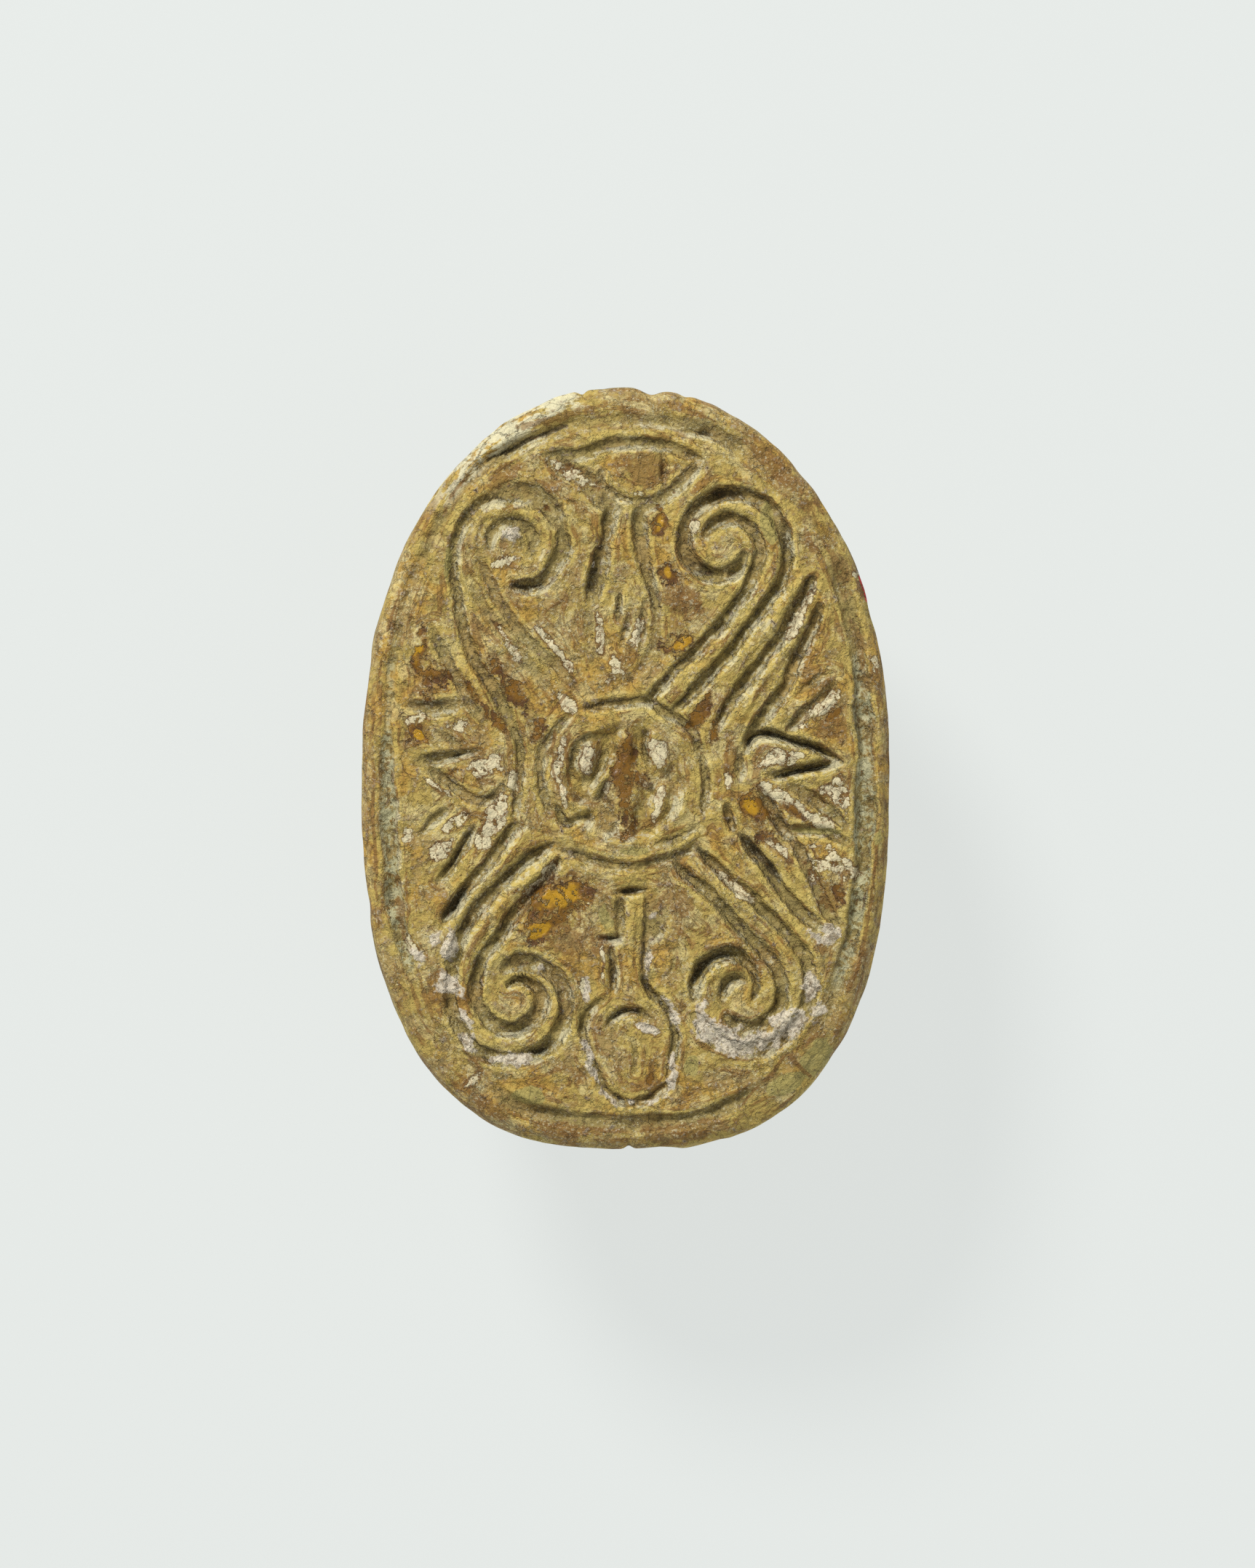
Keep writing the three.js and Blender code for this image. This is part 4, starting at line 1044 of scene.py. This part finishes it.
# Brown stains, and painted shade on the rim at the bottom and upper right.
STAIN_AND_SHADE = srgb(130, 92, 38)
AMBER_BRIGHT = srgb(184, 138, 12)
AMBER = srgb(128, 88, 12)
AMBER_DARK = srgb(92, 58, 14)
GLAZE_WHITE = srgb(230, 218, 178)
GLAZE_BROWN = srgb(124, 84, 34)
GLASS_OLIVE = srgb(166, 154, 88)
PALE_GREEN = srgb(190, 188, 150)
# Pale dust, and painted highlight where walls and the rim face the key light.
DEPOSIT_AND_HIGHLIGHT = srgb(224, 218, 182)
CRUST_WHITE = srgb(228, 216, 194)
CRUST_MAUVE = srgb(164, 148, 124)
INK_RED = srgb(204, 56, 50)


SHAPE_MASKS = ("cut", "slit", "edge", "away", "bite", "flow", "facing", "rim", "border")
COVERINGS = ("amber", "honey", "brown", "white", "crust", "olive", "line", "ink")


def steatite():
    """Worn glazed steatite: the masks place the glaze, crust and stains and the painted light and shade, and noise
    gives the grain.
    """
    n = Nodes("worn_glazed_steatite")
    add, times, rise, band, paint, coat = n.add, n.times, n.rise, n.band, n.paint, n.coat
    cut, slit, edge, away, bite, flow, facing, rim, border = (n.mask(name) for name in SHAPE_MASKS)
    amber, honey, brown, white, crust, olive, line, ink = (n.mask(name) for name in COVERINGS)
    mottle = n.lumps(0.55, 7.0, 0.62, 3.0)
    ground = n.lumps(0.9, 7.0, 0.62, 51.0)
    flake = n.lumps(1.7, 5.0, 0.62, 11.0, 0.3)
    fleck = n.lumps(3.4, 4.0, 0.62, 23.0, 0.3)
    pits = n.lumps(4.0, 3.0, 0.65, 71.0)
    grain = n.lumps(7.0, 3.0, 0.6, 31.0)
    salt = n.lumps(13.0, 4.0, 0.7, 41.0)
    streak = n.streaks(flow, 6.0, 0.9)
    thread = n.streaks(flow, 14.0, 1.6)
    crack = n.cracks(1.5, 0.13)
    lip = add(away, (fleck, 0.3), (grain, 0.2), -0.25)  # distance from a groove's lip, made a little ragged
    biting = rise(bite, 0.1, 0.8)
    inside = times(rise(lip, 0.02, -0.1), rise(bite, 0.05, 0.6))

    # The stone, its grain and its streaks.
    n.colour = TAN
    coat(OCHRE, rise(mottle, 0.49, 0.57), 0.9)
    coat(GREY_TAN, rise(add(ground, (rise(away, 0.15, 0.45), 0.04)), 0.52, 0.58), 0.85)
    coat(CREAM, rise(flake, 0.52, 0.57), 0.5)
    coat(BROWN, band(flake, 0.515, 0.014), rise(mottle, 0.42, 0.52), 0.4)
    coat(ORANGE_BROWN, rise(streak, 0.54, 0.60), 0.7)
    coat(BROWN, band(thread, 0.5, 0.03), rise(add(flake, streak), 1.0, 1.04), 0.8)
    coat(STAIN_AND_SHADE, rise(fleck, 0.55, 0.58), 0.45)

    # Painted highlights on raised edges and groove lips, painted shade in hollows and along the lips, and the floors
    # of the grooves, with painted shade in the deep slits and painted light and shade on the sides by how they face
    # the key light;
    # then the rim, painted lighter towards the key light and darker away from it, and the cracks.
    coat(EDGE_HIGHLIGHT, band(lip, 0.07, 0.1), biting, rise(streak, 0.58, 0.48), 0.5)
    coat(EDGE_HIGHLIGHT, rise(edge, 0.2, 0.8), rise(streak, 0.60, 0.48), 0.5)
    # Painted shade in hollows.
    coat(GROOVE_DARK, rise(edge, -0.2, -0.8), rise(fleck, 0.40, 0.54), 0.5)
    floor = paint(GROOVE_FLOOR, GREY_TAN, times(rise(mottle, 0.48, 0.58), 0.7))
    floor = paint(floor, GROOVE_DARK, times(rise(add(grain, (cut, 0.05)), 0.54, 0.66), 0.5))
    coat(floor, inside, 0.8)
    # Painted shade just inside the lips of the grooves.
    coat(GROOVE_DARK, band(lip, -0.03, 0.05), biting, rise(fleck, 0.44, 0.54), 0.6)
    # Painted shade on walls facing away from the key light.
    coat(GROOVE_DARK, rise(facing, -0.4, -1.1), rise(grain, 0.36, 0.5), 0.3)
    # Painted shade in the deep slits and the hollows beside the legs.
    coat(SLIT_SHADE, rise(add(slit, (grain, 1.2)), 0.85, 1.5), 0.85)
    # Painted highlight on walls facing the key light.
    coat(DEPOSIT_AND_HIGHLIGHT, rise(facing, 0.3, 0.8), rise(add(flake, grain), 0.93, 1.06), 0.55)
    coat(PALE_GREEN, rise(border, 0.2, 0.8), rise(add(flake, grain), 1.06, 0.94), 0.75)
    # Painted highlight on the rim towards the key light, and painted shade at its bottom and upper right.
    coat(DEPOSIT_AND_HIGHLIGHT, rise(rim, 0.2, 0.8), rise(add(streak, flake), 0.93, 1.03), 0.8)
    coat(STAIN_AND_SHADE, rise(rim, -0.2, -0.8), rise(add(streak, flake), 0.94, 1.06), 0.6)
    coat(GROOVE_DARK, crack, rise(mottle, 0.48, 0.56), 0.3)

    # Stains, plates of white glaze with brown cracks, and crust.
    coat(STAIN_AND_SHADE, rise(add(brown, (grain, 3.0)), 1.75, 2.3), 0.7)
    plates = add(white, (fleck, 2.5), (grain, 1.4))
    whitened = rise(plates, 2.64, 2.78)
    coat(GLAZE_BROWN, rise(white, 0.25, 0.7), rise(flake, 0.46, 0.54), 0.75)
    coat(BROWN, band(plates, 2.57, 0.11), rise(white, 0.05, 0.4), 0.8)
    coat(GLAZE_WHITE, whitened, 0.85)
    coat(GLAZE_BROWN, n.cracks(2.8, 0.2), rise(white, 0.1, 0.4), 0.8)
    crusted = paint(CRUST_WHITE, CRUST_MAUVE, times(rise(grain, 0.50, 0.62), 0.8))
    coat(crusted, rise(add(crust, (fleck, 2.0), (grain, 2.0)), 2.3, 2.7), 0.85)
    coat(DEPOSIT_AND_HIGHLIGHT, rise(salt, 0.56, 0.61), rise(ground, 0.44, 0.54), 0.45)
    coat(GROOVE_DARK, rise(pits, 0.61, 0.66), rise(mottle, 0.44, 0.54), rise(edge, 0.5, -0.2), 0.4)

    # Glassy olive glaze, brown lines, amber glaze and ink.
    coat(GLASS_OLIVE, rise(olive, 0.3, 0.7), 0.8)
    coat(STAIN_AND_SHADE, rise(add(line, fleck), 0.85, 1.1), 0.75)
    glaze = paint(AMBER, AMBER_DARK, rise(n.lumps(1.2, 4.0, 0.6, 61.0), 0.47, 0.58))
    glaze = paint(glaze, AMBER_BRIGHT, rise(add(honey, (fleck, 2.0)), 1.25, 1.9))
    glazed = rise(add(amber, (fleck, 2.0), (grain, 2.2)), 2.72, 2.94)
    coat(STAIN_AND_SHADE, rise(add(amber, (grain, 2.0)), 1.2, 1.6), 0.6)
    coat(glaze, glazed)
    coat(DEPOSIT_AND_HIGHLIGHT, rise(salt, 0.56, 0.6), band(amber, 0.45, 0.4), 0.35)
    coat(INK_RED, rise(ink, 0.1, 0.4), rise(grain, 0.36, 0.46))

    shade = n.call("ShaderNodeMapRange", None, n.lumps(10.0, 5.0, 0.75, 13.0), 0.38, 0.62, 0.84, 1.07)
    gloss = times(glazed, rise(grain, 0.62, 0.45))
    bumps = (grain, 0.6), (salt, 0.15), (fleck, 1.1), (streak, 0.9)
    hollows = (rise(pits, 0.58, 0.66), -0.4), (crack, -0.2)
    relief = add(*bumps, *hollows, (rise(lip, -0.08, 0.02), bite, 0.6))
    evened = n.call("ShaderNodeMapRange", None, add(glazed, (whitened, 0.5)), 0.0, 1.0, 1.0, 0.35)
    finish = {
        "Base Color": n.call("ShaderNodeHueSaturation", None, Value=shade, Color=n.colour),
        "Roughness": n.call("ShaderNodeMapRange", None, gloss, 0.0, 1.0, 0.8, 0.3),
        "Normal": n.call("ShaderNodeBump", None, 1.0, 0.1 * MM, Height=times(relief, evened)),
    }
    for name, value in finish.items():
        n.tree.links.new(value, n.shader.inputs[name])
    return n.material


def pale_paper():
    """The floor: pale and faintly lit from below, as on a light table."""
    n = Nodes("pale_floor")
    looks = {
        "Base Color": (0.11, 0.115, 0.112, 1),
        "Roughness": 0.9,
        "Emission Color": (0.96, 1.0, 0.975, 1),
        "Emission Strength": 0.69,
    }
    for name, value in looks.items():
        n.shader.inputs[name].default_value = value
    return n.material


# ---- the scene
def added(name, mesh, material):
    """A smooth-shaded object of a mesh, put in the scene."""
    mesh.polygons.foreach_set("use_smooth", np.ones(len(mesh.polygons), bool))
    mesh.materials.append(material)
    item = bpy.data.objects.new(name, mesh)
    bpy.context.scene.collection.objects.link(item)
    return item


def seal():
    """The seal, with its masks as attributes of its points."""
    height, face_masks = face_fields()
    mesh = make_mesh("scarab_seal", *seal_surface(height))
    for name, values in surface_masks(mesh, face_masks).items():
        mesh.attributes.new(name, "FLOAT", "POINT").data.foreach_set("value", values.astype(np.float32))
    return added("scarab_seal", mesh, steatite())


def studio_floor():
    """A pale floor that curves up far from the seal all round. Lengths are metres here."""
    flat, bend, wall, around = 0.5, 0.2, 0.35, 64
    profile = [(0.05, 0.0), (flat, 0.0)]
    profile += [(flat + bend * math.sin(a), bend * (1 - math.cos(a))) for a in np.linspace(0.15, math.pi / 2, 10)]
    profile.append((flat + bend, wall))
    turn = np.linspace(0, 2 * math.pi, around, endpoint=False)
    points = [np.column_stack([r * np.cos(turn), r * np.sin(turn), np.full(around, z)]) for r, z in profile]
    index = np.arange(around * len(points)).reshape(-1, around)
    quads = np.concatenate([ring_quads(inner, outer) for inner, outer in zip(index[:-1], index[1:])])
    centre = np.stack([index[0], np.roll(index[0], -1), np.full(around, index.size)], -1)
    mesh = make_mesh("floor", np.concatenate([*points, [[0, 0, 0]]]) / MM, quads, centre)
    floor = added("floor", mesh, pale_paper())
    floor.location.z = cad_box[0][2]
    return floor


def area_light(name, place, size, power, colour):
    """A round light that faces the seal."""
    light = bpy.data.lights.new(name, "AREA")
    light.shape, light.size, light.energy, light.color = "DISK", size, power, colour
    item = bpy.data.objects.new(name, light)
    item.location = place
    item.rotation_euler = (-Vector(place)).to_track_quat("-Z", "Y").to_euler()
    bpy.context.scene.collection.objects.link(item)


def lights():
    """A soft key from the upper left, a weak fill and an even surround."""
    area_light("key", (-0.13, 0.23, 0.24), 0.10, 1.25, (1.0, 0.985, 0.96))
    area_light("fill", (0.2, -0.12, 0.3), 0.3, 0.14, (0.96, 0.98, 1.0))
    world = bpy.data.worlds.new("studio")
    world.use_nodes = True
    surround = world.node_tree.nodes["Background"].inputs
    surround["Color"].default_value, surround["Strength"].default_value = (0.97, 1.0, 0.99, 1), 0.24
    bpy.context.scene.world = world


def camera():
    """Straight above the engraved face, as it lies."""
    lens, sensor, frame_height = 100.0, 36.0, 0.0410
    aim = (0.06 * MM, -0.43 * MM)  # where the picture's middle lies from the seal's
    centre = (seal_low + seal_high) / 2
    data = bpy.data.cameras.new("camera")
    data.lens, data.sensor_width, data.sensor_fit = lens, sensor, "AUTO"
    data.clip_start, data.clip_end = 0.01, 10.0
    item = bpy.data.objects.new("camera", data)
    item.location = (centre.x + aim[0], centre.y + aim[1], seal_high.z + frame_height * lens / sensor)
    scene = bpy.context.scene
    scene.collection.objects.link(item)
    scene.camera = item
    scene.view_settings.view_transform = "Standard"
    scene.cycles.use_denoising = False


camera()
lights()
studio_floor()
scarab = seal()
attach(scarab, "root")
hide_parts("scarab")
